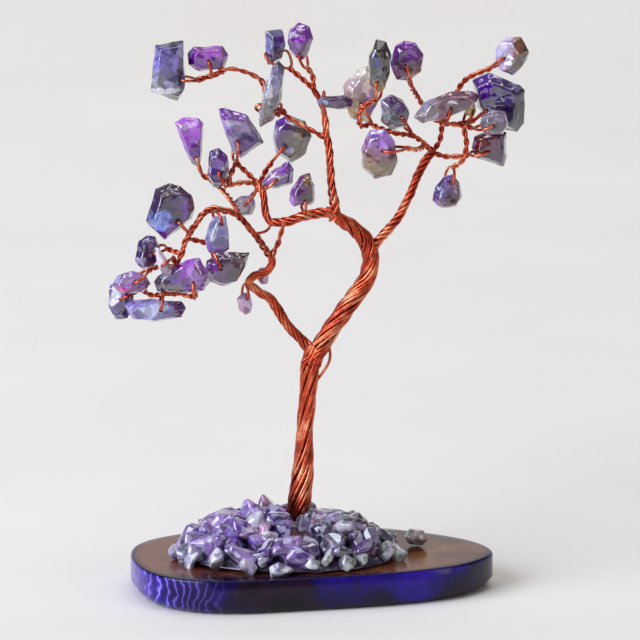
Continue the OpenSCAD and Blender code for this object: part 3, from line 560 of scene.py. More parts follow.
wires("branch_strands_left_lower", bundle(
    [(-0.9, -0.9, 38.6), (0.0, -0.5, 40.6), (-1.4, -0.2, 42.6), (-3.7, -0.6, 45.1), (-6.7, -1.4, 49.9),
     (-8.6, -1.8, 51.3), (-10.4, -2.2, 52.8), (-9.6, -2.4, 54), (-7.4, -2.5, 55), (-6.5, -2.5, 56.2),
     (-6.6, -2.5, 57.4)],
    [1.0, 1.0, 0.95, 0.9, 0.85, 0.8, 0.75, 0.75, 0.7, 0.65, 0.6], 9, 21), nodes=["branch_left_lower"])

wires("branch_strands_left_arm", bundle(
    [(-6.6, -2.5, 57.2), (-9.8, -4, 62.2), (-12.2, -5, 65), (-15, -6, 66.2), (-17.2, -6, 66),
     (-20.2, -6, 61.9), (-21.4, -6, 58.8), (-22.4, -6, 56.4)],
    [0.6, 0.6, 0.6, 0.6, 0.6, 0.55, 0.5, 0.48], 3.4, 22, count=3), nodes=["branch_left_arm"])

wires("branch_strands_left_riser", bundle(
    [(-6.6, -2.5, 57.3), (-5.4, -1.4, 59.8), (-4.4, 0.2, 62.7)],
    [0.55, 0.5, 0.5], 3.0, 23, count=2), nodes=["branch_left_riser"])

wires("branch_strands_right_lower", bundle(
    [(0.2, 0.2, 38.4), (1, 0, 40.6), (3.9, 0.4, 45.2), (7, 0.8, 49.6), (9.2, 1, 52.8), (9.9, 1, 55.6),
     (9.7, 0.8, 58)],
    [1.5, 1.55, 1.55, 1.5, 1.45, 1.45, 1.4], 16, 24), nodes=["branch_right_lower"])

wires("branch_strands_right_arch", bundle(
    [(9.8, 0.9, 57.0), (9, 0.6, 59.6), (7, 0.4, 61.8), (5.2, 0.2, 63), (3.6, 0, 64.2), (2.4, 0, 64.6)],
    [1.4, 1.4, 1.3, 1.2, 1.05, 0.8], 9, 25), nodes=["branch_right_arch"])

wires("branch_strands_upper_left", bundle(
    [(4.6, 0, 63.8), (3.4, 0, 64.3), (1.6, 0.2, 64.3), (-0.6, 0.5, 63.9), (-3.7, 1, 62.8), (-6.7, 2, 62.4),
     (-7.6, 3, 64.2), (-7.9, 4, 66.6), (-8.6, 5, 68.2)],
    [0.9, 0.9, 0.85, 0.8, 0.85, 0.75, 0.65, 0.6, 0.55], 6.5, 26, count=5), nodes=["branch_upper_left"])

wires("branch_strands_top", bundle(
    [(3.9, 0, 63.0), (3.9, 0, 65.8), (3.3, 0, 70), (3.1, 0, 74), (2.7, 0.3, 76.8), (2.3, 0.6, 80),
     (1.9, 1, 82.4),
     (0.4, 1, 85.2)],
    [0.9, 0.85, 0.75, 0.7, 0.65, 0.6, 0.55, 0.5], 5.5, 27, count=4), nodes=["branch_top"])

wires("branch_strands_right_side", bundle(
    [(9.4, 1, 56.6), (11.2, 1.2, 59.4), (13.3, 1.4, 61.7), (15.3, 1.6, 64.6), (17.2, 1.8, 69),
     (18.8, 2, 72.4),
     (20.4, 2, 74.5)],
    [0.85, 0.8, 0.75, 0.75, 0.75, 0.8, 0.75], 5, 28, count=5), nodes=["branch_right_side"])

wires("branch_strands_far_left", bundle(
    [(2.7, 0.3, 76.9), (-1.4, 0.8, 79), (-5.3, 2, 81.4), (-7.6, 3.4, 84.4), (-8.6, 3.6, 86.4),
     (-13, 3.2, 88.1),
     (-16.4, 3.2, 87), (-18.9, 3, 86.2)],
    [0.5, 0.5, 0.5, 0.5, 0.5, 0.5, 0.48, 0.46], 3.2, 29, count=2), nodes=["branch_far_left"])


# ======================= the leaves and their strands =======================
# Each leaf is a tumbled amethyst chip with a hole drilled through it. One strand of wire goes through
# the hole and its two ends are twisted together down to the branch.

BEND = 3.0  # mm that noise pushes the zones about


def gem_material(name, centre, reach, tones, way, patches, milk):
    # amethyst: quartz coloured in zones, glassy polish, milky veils; tones run along the way (90 is up)
    mat, tree = new_material("gem_" + name)
    place = node(tree, "ShaderNodeTexCoord").outputs["Object"]
    turn = math.radians(way)
    local = node(tree, "ShaderNodeVectorMath", {"operation": "SUBTRACT", 1: tuple(centre * 0.001)},
                 {0: place})
    bend = noise(tree, place, 3.5, 3, 0.55)
    bent = node(tree, "ShaderNodeVectorMath", {"operation": "MULTIPLY_ADD", 1: (mm(BEND),) * 3},
                {0: bend.outputs["Color"], 2: local.outputs[0]})
    run = node(tree, "ShaderNodeVectorMath",
               {"operation": "DOT_PRODUCT",
                1: (math.cos(turn) * 500 / reach, 60 / reach, math.sin(turn) * 500 / reach)},
               {0: bent.outputs[0]})
    shift = 0.5 - BEND / 4 / reach * (math.cos(turn) + math.sin(turn) + 0.12)
    at = node(tree, "ShaderNodeMath", {"operation": "ADD", 1: shift}, {0: run.outputs["Value"]})
    stops = [((k + 0.5) / len(tones), code) for k, code in enumerate(tones)]
    colour = ramp(tree, at.outputs[0], stops).outputs["Color"]
    for x, z, wide, high, code in patches:
        # a patch is a paler or darker zone: place and half size in mm from the middle of the stone; the
        # near-white and pale blue patches are painted highlights and reflections on facets, the others zones
        # of the stone's colour
        off = node(tree, "ShaderNodeVectorMath",
                   {"operation": "SUBTRACT", 1: (mm(x + BEND / 2), mm(BEND / 2), mm(z + BEND / 2))},
                   {0: bent.outputs[0]})
        scaled = node(tree, "ShaderNodeVectorMath",
                      {"operation": "MULTIPLY", 1: (1000 / wide, 0, 1000 / high)},
                      {0: off.outputs[0]})
        away = node(tree, "ShaderNodeVectorMath", {"operation": "LENGTH"}, {0: scaled.outputs[0]})
        mask = node(tree, "ShaderNodeMapRange",
                    {"From Min": 1.1, "From Max": 0.75, "interpolation_type": "SMOOTHSTEP"},
                    {"Value": away.outputs["Value"]})
        colour = mixed(tree, mask.outputs[0], colour, hex_linear(code))
    veils = noise(tree, place, 2.2, 5, 0.62, 1.4)
    veil = node(tree, "ShaderNodeMapRange", {"From Min": 0.52, "From Max": 0.8, "To Max": milk},
                {"Value": veils.outputs["Fac"]})
    milky = mixed(tree, veil.outputs[0], colour, hex_linear("#DCD4EE"))
    # painted light and shade for facets seen through the stone: polygonal zones, some painted dark, some
    # painted lit, with a painted bluish white glint here and there
    inside = node(tree, "ShaderNodeTexVoronoi", {"Scale": 560.0, "Randomness": 1.0},
                  {"Vector": bent.outputs[0]})
    zone = node(tree, "ShaderNodeSeparateColor", links={"Color": inside.outputs["Color"]})
    painted_facet_light = node(tree, "ShaderNodeMapRange", {"To Min": 0.34, "To Max": 1.3}, {"Value": zone.outputs["Red"]})
    colour_with_painted_facet_light = node(tree, "ShaderNodeVectorMath", {"operation": "SCALE"}, {0: milky, 3: painted_facet_light.outputs[0]})
    painted_glint = node(tree, "ShaderNodeMapRange", {"From Min": 0.86, "From Max": 0.9, "To Max": 0.2 + 0.8 * milk},
                 {"Value": zone.outputs["Green"]})
    colour_with_painted_glint = mixed(tree, painted_glint.outputs[0], colour_with_painted_facet_light.outputs[0], hex_linear("#C2C8F2"))
    rich = node(tree, "ShaderNodeHueSaturation", {"Hue": 0.526, "Saturation": 1.3, "Value": 1.04},
                {"Color": colour_with_painted_glint})
    wear = noise(tree, place, 1.1, 3)
    polish = node(tree, "ShaderNodeMapRange",
                  {"From Min": 0.35, "From Max": 0.8, "To Min": 0.05, "To Max": 0.16},
                  {"Value": wear.outputs["Fac"]})
    bump = node(tree, "ShaderNodeBump", {"Strength": 0.12, "Distance": mm(0.1)},
                {"Height": wear.outputs["Fac"]})
    shader = node(tree, "ShaderNodeBsdfPrincipled",
                  {"IOR": 1.544, "Transmission Weight": 0.08 + 0.4 * milk, "Coat Weight": 1.0,
                   "Coat IOR": 1.9,
                   "Coat Roughness": 0.05},
                  {"Base Color": rich.outputs["Color"], "Roughness": polish.outputs[0],
                   "Normal": bump.outputs[0]})
    finish_material(tree, shader)
    return mat


# The colours of each stone: tones along a way (degrees in the front view, 0 to the right, 90 up), pale or
# dark zones (place, half width, half height in mm; the near-white and pale blue ones are painted highlights
# and reflections), strength of the milky veils
LOOKS = {
    "far_left_tall": (["#3A3A2C", "#8C8E9C", "#7E84C2", "#8488CC", "#4A4468"], 75,
                      [(2.4, 0, 0.8, 4.5, "#2E1A50"), (-0.4, -3.0, 2.6, 0.5, "#E6E6F2")], 0.3),
    "far_left_flat": (["#5E3A80", "#6E46A0", "#8A5AB0", "#B48CC0"], 90, [(2.2, 0.6, 1.0, 1.0, "#A878C0")],
                      0.35),
    "top_grey": (["#5A587A", "#6A6E96", "#4A3A78", "#7A7A98"], 110, [(-0.8, 0.6, 0.8, 1.4, "#A6B0D4")], 0.5),
    "top_round": (["#4A1E78", "#6E3C9A", "#8A58B0", "#6A3A90"], 60, [(-1.2, 1.0, 1.2, 0.6, "#D8D0F4")], 0.3),
    "top_long": (["#7A7068", "#8A8490", "#8A88A0", "#6E6A84"], 80, [(-0.2, 1.0, 0.4, 3.4, "#E0DEEC")], 0.6),
    "top_bar": (["#2A1036", "#3A1446", "#521C5A"], 0, [(-1.6, 0.2, 0.5, 0.4, "#C8D0F0")], 0.2),
    "pale_quartz": (["#D8B89C", "#DCC4BC", "#E4CED8", "#E8D8CC"], 60, [(1.6, -1.2, 1.4, 1.8, "#C8A0C8")],
                    0.6),
    "dark_oval": (["#B08A66", "#26121A", "#10060E", "#160C10", "#2E1A16"], 80,
                  [(-0.4, 1.6, 0.3, 1.2, "#38508C")], 0.1),
    "disc": (["#7A2A48", "#6A2470", "#581E86", "#6E3A90"], 125, [(1.6, -1.8, 1.2, 1.0, "#8A3A4A")], 0.25),
    "smoky": (["#7A7078", "#827E90", "#6A5A86", "#4A2E70"], 55, [(-0.8, -0.4, 1.2, 1.4, "#8E9098")], 0.5),
    "two_tone": (["#7A6A4E", "#8A6A58", "#8C5E78", "#9A78B8", "#8E8AC0"], 85,
                 [(1.4, 2.2, 1.2, 1.2, "#B49CDC")], 0.35),
    "right_tip": (["#E4DCF4", "#C8BCE0", "#7A4A3C", "#5E3A34", "#3A1E2A"], -10,
                  [(-0.6, -2.4, 1.6, 0.9, "#3A1650")], 0.3),
    "right_block": (["#341088", "#2E0E7A", "#1E0A50", "#1A0E1C"], -15, [(-2.6, 2.6, 1.4, 1.2, "#5636B0")],
                    0.15),
    "right_long": (["#C4B8C0", "#8E7280", "#7A5468", "#5E2E4E"], -5, [(0.6, 0.6, 0.9, 0.3, "#E8E0EA"),
                                                                 (-1.2, -0.9, 0.9, 0.4, "#A05A70")], 0.4),
    "right_grey": (["#8E8490", "#9A8EA0", "#7E6E8C"], 20, [], 0.5),
    "right_plum": (["#5E1842", "#6E2A50", "#4A1450", "#2E1040"], -25, [(-1.4, 0.8, 1.0, 0.8, "#8A4A5A")],
                   0.3),
    "right_sliver": (["#E4BC8A", "#F0D8B0", "#D8A878"], 60, [], 0.2),
    "right_drop": (["#5A2038", "#7A5A78", "#7A70A0", "#6A6CA8"], 150, [(-1.0, 0.4, 0.6, 1.0, "#A8AEDC")],
                   0.35),
    "wedge": (["#8A7A9A", "#8456B8", "#9A68CC", "#B48ADC"], 75, [(-0.4, 3.0, 1.6, 0.4, "#D8C0EC")], 0.4),
    "dark_middle": (["#2A0858", "#3E0E78", "#4A1488", "#2E0A5A"], 80, [(0.6, -0.2, 0.3, 0.4, "#F0E0F8")],
                    0.1),
    "kite": (["#3E2C78", "#6A52A0", "#9088A8", "#A48CD0", "#8A6ABE"], 135, [(-1.6, 1.8, 1.8, 0.5, "#D4CCEA")],
             0.5),
    "olive": (["#5E4A3E", "#64503E", "#5C3E68", "#5E48A0"], 160, [(1.6, -1.8, 1.4, 1.4, "#7A6450")], 0.35),
    "triangle": (["#8A70B8", "#A488CC", "#8C68B4", "#7A5AA8"], 60, [(0.2, 0.2, 1.6, 0.3, "#F0E4F4")], 0.5),
    "milky": (["#B4AEBC", "#C8C2CC", "#A89EB4"], 40, [], 0.7),
    "arch": (["#A890D0", "#5A2068", "#3E1244", "#6A3E34"], 10, [(0.6, 2.0, 0.7, 0.7, "#7A4A38")], 0.15),
    "left_hood": (["#54208A", "#3A1468", "#1E0A40", "#2A1450", "#3A2A3C"], 90,
                  [(-1.6, -0.9, 2.2, 1.6, "#A8C4FA"), (2.6, 0.8, 0.6, 2.2, "#6E50A8"),
                   (0.6, -1.6, 1.4, 0.6, "#5A2C92")], 0.1),
    "left_dark": (["#7A7098", "#3E2260", "#2E1450", "#4A3A70"], 130, [(-1.2, -0.8, 0.8, 0.8, "#9A98B8")],
                  0.25),
    "left_point": (["#C8B0CC", "#E8DCEA", "#F0E8F0"], 120, [], 0.4),
    "left_pink": (["#B83CA0", "#A078C0", "#B8A0D0", "#A890C8"], 100, [(-1.2, -1.0, 1.4, 0.4, "#D848B0")],
                  0.6),
    "left_white": (["#2C1060", "#3A1A6E", "#54308A"], 100, [(-1.2, 0.6, 1.0, 1.8, "#F2F0FC")], 0.15),
    "left_boat": (["#8E86D0", "#C4CCF4", "#AAA4E0", "#3A1660"], 0, [(-0.6, 0.3, 3.0, 0.8, "#DCE6FF")], 0.3),
    "left_lilac": (["#5A4E58", "#4A3A88", "#8A5EBA", "#A884CC", "#8A68A8"], 10,
                   [(2.0, 0.4, 1.6, 1.4, "#B494D8"), (4.1, -0.2, 0.35, 1.8, "#E0D4EE"),
                    (-1.6, -2.0, 1.8, 0.7, "#6A6258")], 0.45),
    "left_mauve": (["#5E4470", "#6A4C78", "#5A4256", "#4A3838"], 5, [(-2.2, 0.2, 1.0, 1.4, "#8A66B0")], 0.4),
    "left_blue": (["#6A58A8", "#8A86BC", "#9A9EC4", "#8C8CB4"], 100, [(-0.6, 0.6, 0.5, 1.6, "#DCE4F4")], 0.6),
    "left_drop": (["#D4A0CC", "#DCC0DC", "#A890B8"], 80, [], 0.5),
    "left_bud": (["#D8A8C8", "#E4C8DC"], 80, [], 0.5),
}

STONE_SLOTS = {name: "stone_pale" for name in
               ("pale_quartz", "milky", "left_point", "left_pink", "left_drop", "left_bud", "right_sliver",
                "left_white")}
STONE_SLOTS.update({name: "stone_smoky" for name in
                    ("top_grey", "top_long", "smoky", "two_tone", "right_long", "right_grey", "left_mauve",
                     "left_blue", "right_tip", "olive")})

stone_lumps = bpy.data.textures.new("stone_lumps", "CLOUDS")
stone_lumps.noise_scale = mm(3.2)
stone_ripples = bpy.data.textures.new("stone_ripples", "CLOUDS")
stone_ripples.noise_scale = mm(1.1)


def tumbled_stone(name, body, centre, middle, along, soft=9, lumps=0.6):
    """The chip: a CAD hull worn round by tumbling, with its drilled hole."""
    node_name = "leaf_" + name
    piece = copy_of_node(node_name, "stone_" + name)
    bpy.ops.object.mode_set(mode="EDIT")
    bpy.ops.mesh.select_all(action="SELECT")
    bpy.ops.mesh.convex_hull()
    bpy.ops.object.mode_set(mode="OBJECT")
    add_modifier(piece, "REMESH", mode="VOXEL", voxel_size=mm(0.15))
    add_modifier(piece, "DISPLACE", texture=stone_lumps, strength=mm(lumps), mid_level=0.5,
                 texture_coords="LOCAL")
    add_modifier(piece, "SMOOTH", factor=0.5, iterations=soft)
    add_modifier(piece, "DISPLACE", texture=stone_ripples, strength=mm(0.1), mid_level=0.5,
                 texture_coords="LOCAL")
    bpy.ops.object.select_all(action="DESELECT")
    bpy.ops.mesh.primitive_cylinder_add(vertices=24, radius=mm(0.33), depth=mm(16), location=middle * 0.001,
                                        rotation=along.to_track_quat("Z", "Y").to_euler())
    drill = bpy.context.active_object
    alone(piece)
    cut = piece.modifiers.new("hole", "BOOLEAN")
    cut.operation = "DIFFERENCE"
    cut.solver = "EXACT"
    cut.object = drill
    bpy.ops.object.modifier_apply(modifier="hole")
    bpy.data.objects.remove(drill)
    smooth_shade(piece, 38)
    offsets = [v.co * 1000 - centre for v in piece.data.vertices]
    reach = max(max(abs(off.x), abs(off.z)) for off in offsets)
    tones, way, patches, milk = LOOKS[name]
    piece.data.materials.append(gem_material(name, centre, reach, tones, way, patches, milk))
    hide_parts(node_name)
    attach(piece, body)
    return piece


def twisted_pair(route, first_side, pitch, step=0.22):
    """Both strands of a twisted pair along a route (mm), starting on the two sides of first_side."""
    line = spline_through(route, step)
    sides = frames_along(line, first_side)
    pair = []
    for hand in (1, -1):
        strand = []
        for i, p in enumerate(line):
            turn = 2 * math.pi * i * step / pitch
            strand.append(p + (sides[i][0] * math.cos(turn) + sides[i][1] * math.sin(turn)) * 0.245 * hand)
        pair.append(strand)
    return pair


def leaf(name, centre, turn, hole, tilt, half, knot, drop, route, shift, swings=False, soft=9, lumps=0.6):
    """Builds the chip and returns the route of its strand: up one side, through the hole, down the other."""
    centre, knot = Vector(centre) + Vector(shift), Vector(knot) + Vector(shift)
    yaw, pitch = math.radians(tilt[0]), math.radians(tilt[1])
    along = Vector((math.cos(pitch) * math.cos(yaw), math.cos(pitch) * math.sin(yaw), math.sin(pitch)))
    around = math.radians(turn)
    middle = centre + Vector((math.cos(around), math.sin(around), 0)) * hole[0] + Vector((0, 0, hole[1]))
    tumbled_stone(name, "swing_" + name if swings else "tree", centre, middle, along, soft, lumps)
    away = knot - middle
    leg = (away - along * away.dot(along)).normalized()
    side = []
    for hand in (1, -1):
        out = along * hand
        side.append([middle + out * (half - 0.7), middle + out * (half - 0.25) + leg * 0.08,
                     middle + out * half + leg * 0.45, middle + out * (half - 0.02) + leg * drop * 0.6,
                     (middle + out * half + leg * drop) * 0.6 + (knot + out * 0.245) * 0.4])
    down = twisted_pair([knot] + [Vector(p) for p in route], along, 2.5)
    there = spline_through(side[0] + [down[0][0]], 0.2)
    back = spline_through(side[1] + [down[1][0]], 0.2)
    return list(reversed(down[0][1:])) + list(reversed(there)) + back + down[1][1:]


def twig_pair(route, pitch=2.8):
    return twisted_pair([Vector(p) for p in route], Vector((0.2, 1, 0.1)), pitch)


# ---- far left: two big stones at the end of a long twig ----

FAR_LEFT = (0, 3, -0.7)
MIDDLE = (0, 5, -1.2)
middle_routes = [
    leaf("far_left_tall", (-23.6, -0.6, 88.5), 20, (1.6, -1.2), (110, 0), 2.6, (-18.9, 0, 87), 2.1,
         [(-18.5, 3, 86.3), (-17.4, 3.1, 86.7)], FAR_LEFT, swings=True, soft=5),
    leaf("far_left_flat", (-17.1, 0.6, 90.5), 5, (0, -0.2), (95, 0), 2.0, (-16.4, 0.4, 87.6), 2.2,
         [(-15.6, 3.2, 87.2), (-14.6, 3.2, 87.6)], FAR_LEFT, soft=5),
]

# ---- middle: seven stones over the upper left branch ----

HUB = (-8.6, 5, 68)
middle_routes += [
    leaf("wedge", (-20.2, 0.6, 76.4), 10, (0.9, -2.4), (100, 0), 2.0, (-18.2, 0.4, 70.9), 2.1,
         [(-15.8, 5, 68.2), (-14.2, 3, 67), (-12.6, -1, 65.8), (-11.6, -4.7, 64.6)], MIDDLE, swings=True),
    leaf("dark_middle", (-15.3, -1.6, 72.6), -8, (0.2, -0.4), (82, 0), 2.0, (-13.9, -1, 69.4), 2.9,
         [(-11, 4.4, 68.6), HUB], MIDDLE),
    leaf("kite", (-11.7, 1.6, 77.9), 12, (-0.8, -1.2), (102, 0), 2.1, (-12.7, 1.2, 73), 3.4,
         [(-10.6, 5.2, 70), HUB], MIDDLE),
    leaf("olive", (-3.3, 2, 76.7), -10, (-0.8, -1), (80, 0), 2.2, (-6.4, 1.4, 73), 3.6,
         [(-7.6, 5.6, 70.2), HUB], MIDDLE),
    leaf("triangle", (-5.5, -2, 71.3), 5, (-0.4, -0.4), (95, 0), 1.8, (-8, -1.2, 69), 2.6,
         [(-8.5, 4.6, 68), HUB], MIDDLE),
    leaf("milky", (-11.2, -1, 65.9), 0, (0.2, 0.4), (90, 0), 1.6, (-9.2, -0.4, 68.2), 2,
         [(-8.8, 4.8, 67.6), HUB], MIDDLE),
    leaf("arch", (-1.4, 0, 68.1), 12, (0.1, -1.5), (102, 0), 2.1, (-1.2, 0, 64.5), 1.6,
         [(-0.6, 0.5, 63.7), (-0.7, 0.6, 63.3)], (0, 0.6, -0.1), swings=True),
]
middle_routes += twig_pair([(-12.2, 6, 72.2), (-13.2, 5, 70.2), (-13.9, 4, 68.2)])
middle_routes.append(spline_through(
    [(-6.6, 1.8, 62.4), (-7.2, 1.4, 61.2), (-8.6, 0.6, 60.8), (-10.2, -1, 61.4), (-11.2, -3.6, 63.8)]))
wires("strands_middle", middle_routes, nodes=["twigs_middle", "loose_leaf_pins"])

# ---- top: nine stones above the arch ----

TOP = (0, 1, -0.2)
TOP_RIGHT = (0, -3, 0.7)
TIP = (0.4, 1, 85.2)
CROSSING = (16.8, -1.6, 77.8)
top_routes = [
    leaf("top_grey", (-6, 2.6, 92.1), 35, (0.2, -1), (35, 0), 2.3, (-3.6, 1.4, 88.6), 2.3,
         [(-1.8, 1.8, 87), TIP], TOP),
    leaf("top_round", (-1.8, -0.6, 93.4), -10, (0.2, -1.8), (80, 0), 2.6, (-0.6, -0.2, 89), 2.1,
         [(0.3, 1, 87.2), TIP], TOP, swings=True, soft=10),
    leaf("top_long", (-6.7, -2.4, 85.1), 10, (-0.2, -1.8), (10, 0), 2.1, (-5.6, -0.2, 80.9), 2,
         [(-4.7, 2, 81.4), (-4.4, 1.8, 80.9)], TOP),
    leaf("top_bar", (3.9, -3.2, 83.7), 0, (-1.7, 0), (0, 90), 1.6, (2, -0.1, 83.2), 1.7,
         [(1.9, 1, 82.9), (1.8, 1, 82.2)], TOP),
    leaf("pale_quartz", (8.3, 3.6, 83.6), 15, (-0.6, -1.2), (105, 0), 2.4, (10.2, 2.6, 78.6), 3.5,
         [(14, -3.6, 78.6), CROSSING], TOP_RIGHT, lumps=1.3, soft=5),
    leaf("dark_oval", (11.3, -2.6, 89.5), -15, (0, -2.4), (75, 0), 1.9, (11.2, -2.2, 84), 2.6,
         [(9.4, -6, 84), (8, -5.6, 82.6), (8.2, -4.4, 80), (10.2, -2, 79.9)], TOP_RIGHT),
    leaf("disc", (15.8, 1.6, 89.7), 10, (-0.4, -0.6), (100, 0), 2.2, (16.6, 1.6, 85.2), 3.3,
         [(18, 2, 83), (19.6, 3, 80.2), (21.7, 1.4, 79.4)], TOP_RIGHT, swings=True, soft=9),
    leaf("smoky", (13.8, 1.6, 81), 20, (0.6, -0.6), (110, 0), 2.1, (16.6, 1.2, 77.6), 2.7,
         [CROSSING, (18.4, 0, 76.4), (20.2, 2, 74.2)], TOP_RIGHT),
    leaf("two_tone", (11.2, -2.2, 74.8), -10, (1, 0.8), (80, 0), 2.2, (15.6, -1.6, 75.6), 2.7,
         [(17.6, -3.4, 75.8), (19, 0.6, 75.6), (20.2, 1.6, 74.6)], TOP_RIGHT),
]
wires("strands_top", top_routes, nodes=["twigs_top"])

# ---- right: seven stones at the end of the right side branch ----

RIGHT = (0, 2, -0.5)
FORK = (20.2, 2, 74.2)
UPPER = (21.7, 1.2, 79.2)
LOWER = (25.6, 2, 73.6)
right_routes = [
    leaf("right_tip", (33.5, 0, 91), -35, (-0.6, -0.2), (55, 0), 2.5, (30, 1.7, 88.7), 2.4,
         [(25.6, 3.2, 86.2), (23.4, 3.2, 82.4), (21.8, 1.2, 79)], RIGHT, swings=True),
    leaf("right_block", (31.2, 4.4, 82.3), -12, (-1.6, -1), (78, 0), 2.6, (27.4, 3.6, 79.6), 4,
         [(25.8, 3.8, 78.6), (24.2, 1.6, 79)], RIGHT, soft=5),
    leaf("right_long", (22.5, -3, 83), 8, (0.4, 0), (98, 0), 2.1, (21.6, -1.4, 79.8), 2.9,
         [UPPER, (21.4, 1.8, 76.4), FORK], RIGHT, soft=9),
    leaf("right_grey", (30.4, -2.6, 80.3), 12, (-0.6, -0.2), (102, 0), 1.8, (27, -1.6, 79.1), 2.1,
         [(24.4, 1.6, 79), UPPER], RIGHT),
    leaf("right_plum", (29.8, 0.8, 75.4), 10, (-0.6, -0.4), (100, 0), 2.1, (26.4, 0.4, 74.2), 2.4,
         [LOWER, (22.4, 2, 73.5), FORK], RIGHT),
    leaf("right_sliver", (26.5, 0.2, 82), 30, (0, -0.2), (120, 0), 1.1, (25.4, 0.2, 79.8), 1.3,
         [(24.4, 1.6, 79), (23.6, 1.5, 79.1)], RIGHT, lumps=0.2),
    leaf("right_drop", (22.7, 0, 68.2), 15, (0.2, 1.6), (105, 0), 2.4, (23.5, 0, 72.2), 1.9,
         [(24.8, 2, 72.4), LOWER], RIGHT, swings=True),
]
right_routes += twig_pair([LOWER, (25.8, 2, 76), (25.2, 1.7, 78.8)])
wires("strands_right", right_routes, nodes=["twigs_right"])

# ---- left: eleven stones round the end of the left arm ----

LEFT = (0, -6, 1.4)
ARM_LOW = (-22.4, -6, 56.4)
left_routes = [
    leaf("left_hood", (-23.2, 0, 64.3), 15, (0.8, -1.2), (105, 0), 2.5, (-20.4, 0.2, 61), 3.2,
         [(-20.2, -6, 61.9), (-19.6, -6, 62.8)], LEFT, soft=5),
    leaf("left_dark", (-27.1, 2.4, 57), 20, (0.6, 0), (110, 0), 1.9, (-23.9, 1.8, 57.8), 2.8,
         [(-22.8, -5, 59), (-21.6, -6, 58.8)], LEFT),
    leaf("left_point", (-24.4, -4, 56.8), -15, (0.2, -0.4), (75, 0), 1.2, (-22.8, -1.4, 57), 1.3,
         [ARM_LOW, (-22.1, -6, 57.2)], LEFT, lumps=0.2, soft=4),
    leaf("left_pink", (-29.8, -2.4, 53), 10, (0.4, 0.2), (100, 0), 1.8, (-27, -1.8, 54.8), 2.2,
         [(-24.6, -5.2, 56.5), ARM_LOW], LEFT, soft=8),
    leaf("left_white", (-31.4, 2.2, 49), -25, (0.5, 0.4), (65, 0), 1.9, (-28, 1.8, 50.8), 2.7,
         [(-26.4, -5.4, 51.6), (-24.6, -7.2, 52.2)], LEFT, soft=4),
    leaf("left_boat", (-25.8, -2, 48.4), 6, (0.8, 0.1), (96, 0), 1.9, (-24.6, -1.2, 50.8), 2.2,
         [(-24.0, -6.8, 52.2), (-22, -5.6, 52), (-21.8, -5, 54), ARM_LOW], LEFT, soft=4),
    leaf("left_lilac", (-21.2, -2.6, 54.1), -6, (2, -0.8), (84, 0), 1.9, (-19, -1.6, 50.4), 2.8,
         [(-20.4, -6.8, 51.8), (-22, -5.6, 52), (-24.4, -7, 52.1)], LEFT),
    leaf("left_mauve", (-13.8, 1.4, 54.5), 14, (-1.6, 0.4), (104, 0), 2.0, (-16.4, 1, 57.6), 2.4,
         [(-16.7, -4.8, 59.8), (-17.6, -5, 60.4), (-20, -6, 61.2)], LEFT),
    leaf("left_blue", (-15.4, -2.8, 61.2), 20, (0.2, 2), (110, 0), 2.1, (-16.3, -1.2, 65), 2.1,
         [(-16.4, -6, 66), (-15.8, -6, 66.1)], LEFT, swings=True),
    leaf("left_drop", (-11, 0, 49.2), 20, (0.1, 0.9), (110, 0), 1.6, (-10.9, 0, 52.3), 1.5,
         [(-10.2, -2.2, 53), (-9.6, -2.1, 52.4)], (0, -2.4, 0.4), swings=True, lumps=0.2),
    leaf("left_bud", (-8, 0, 53.6), -30, (0.2, 0), (60, 0), 1.2, (-9.9, 0, 53.3), 1.2,
         [(-10.2, -2.2, 53), (-9.8, -2.1, 52.5)], (0, 0.2, 0), lumps=0.2),
]
wires("strands_left", left_routes, nodes=["twigs_left"])


# ======================= floor, light and camera =======================
# A pale table that curves up into a pale wall. A large soft lamp stands at the upper left, with weaker
# ones overhead and at the right, and one that lights the wall.

def pale_material():
    mat, tree = new_material("pale_paper")
    place = node(tree, "ShaderNodeTexCoord").outputs["Object"]
    grain = noise(tree, place, 60, 2)
    tone = ramp(tree, grain.outputs["Fac"], [(0.2, "#EFE9E3"), (0.8, "#F4F0EA")])
    shader = node(tree, "ShaderNodeBsdfPrincipled", {"Roughness": 0.85, "IOR": 1.3},
                  {"Base Color": tone.outputs["Color"]})
    finish_material(tree, shader)
    return mat


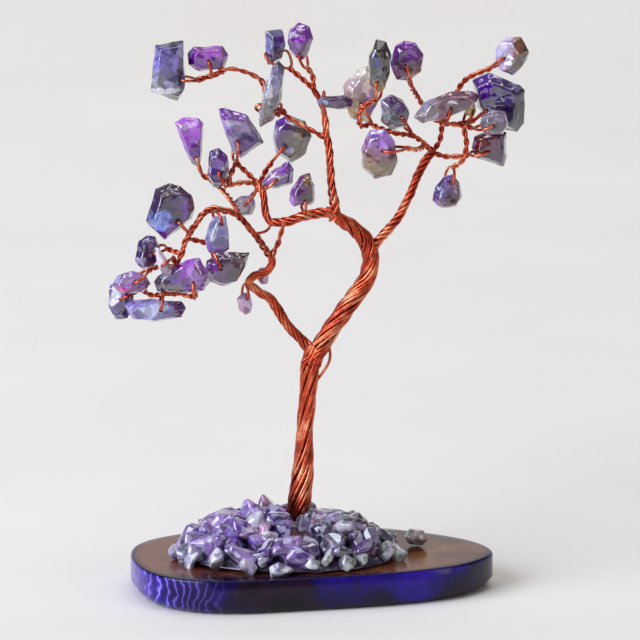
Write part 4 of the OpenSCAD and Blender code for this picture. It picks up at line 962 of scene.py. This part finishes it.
bpy.ops.object.select_all(action="DESELECT")
bpy.ops.mesh.primitive_plane_add(size=6.0, location=(0, 0.0, 0))
floor = bpy.context.active_object
floor.name = "pale_table"
bpy.ops.object.mode_set(mode="EDIT")
bpy.ops.mesh.select_all(action="DESELECT")
bpy.ops.object.mode_set(mode="OBJECT")
for edge in floor.data.edges:
    edge.select = all(floor.data.vertices[v].co.y > 1 for v in edge.vertices)
bpy.ops.object.mode_set(mode="EDIT")
bpy.ops.mesh.select_mode(type="EDGE")
bpy.ops.mesh.extrude_region_move(TRANSFORM_OT_translate={"value": (0, 0, 3.0)})
bpy.ops.object.mode_set(mode="OBJECT")
add_modifier(floor, "BEVEL", width=1.5, segments=16, limit_method="ANGLE")
smooth_shade(floor, 60)
floor.data.materials.append(pale_material())

bpy.context.scene.view_settings.view_transform = "Standard"
world = bpy.data.worlds.new("soft_room")
bpy.context.scene.world = world
world.use_nodes = True
world.node_tree.nodes["Background"].inputs["Color"].default_value = hex_linear("#DDE2EA")
world.node_tree.nodes["Background"].inputs["Strength"].default_value = 0.26


def lamp(name, place, size, watts, code, aim=(0, 0, 0.05)):
    data = bpy.data.lights.new(name, "AREA")
    data.shape = "RECTANGLE"
    data.size, data.size_y = size
    data.energy = watts
    data.color = hex_linear(code)[:3]
    obj = bpy.data.objects.new(name, data)
    bpy.context.scene.collection.objects.link(obj)
    obj.location = place
    obj.rotation_euler = (Vector(aim) - Vector(place)).to_track_quat("-Z", "Y").to_euler()
    return obj


lamp("window_left", (-0.85, -0.6, 0.55), (0.9, 1.0), 18.0, "#E8F0FF")
lamp("soft_top", (0.15, -0.2, 1.1), (0.8, 0.7), 2.2, "#FFFFFF")
lamp("fill_right", (0.8, -0.5, 0.3), (0.2, 0.5), 0.9, "#FFE6D6")
lamp("wall_wash", (0.0, 0.7, 1.9), (2.4, 1.0), 31.0, "#FFFFFF", aim=(0, 2.6, 0.7))

AIM = Vector((mm(1.5), 0, mm(46.1)))
LIFT = math.radians(13)
FAR = 1.2
VIEW_WIDTH = 0.10667
camera_data = bpy.data.cameras.new("front_camera")
camera = bpy.data.objects.new("front_camera", camera_data)
bpy.context.scene.collection.objects.link(camera)
camera_data.sensor_width = 36
camera_data.lens = camera_data.sensor_width * FAR / VIEW_WIDTH
camera_data.clip_end = 20
camera.location = AIM + Vector((0, -math.cos(LIFT), math.sin(LIFT))) * FAR
camera.rotation_euler = (AIM - camera.location).to_track_quat("-Z", "Y").to_euler()
bpy.context.scene.camera = camera
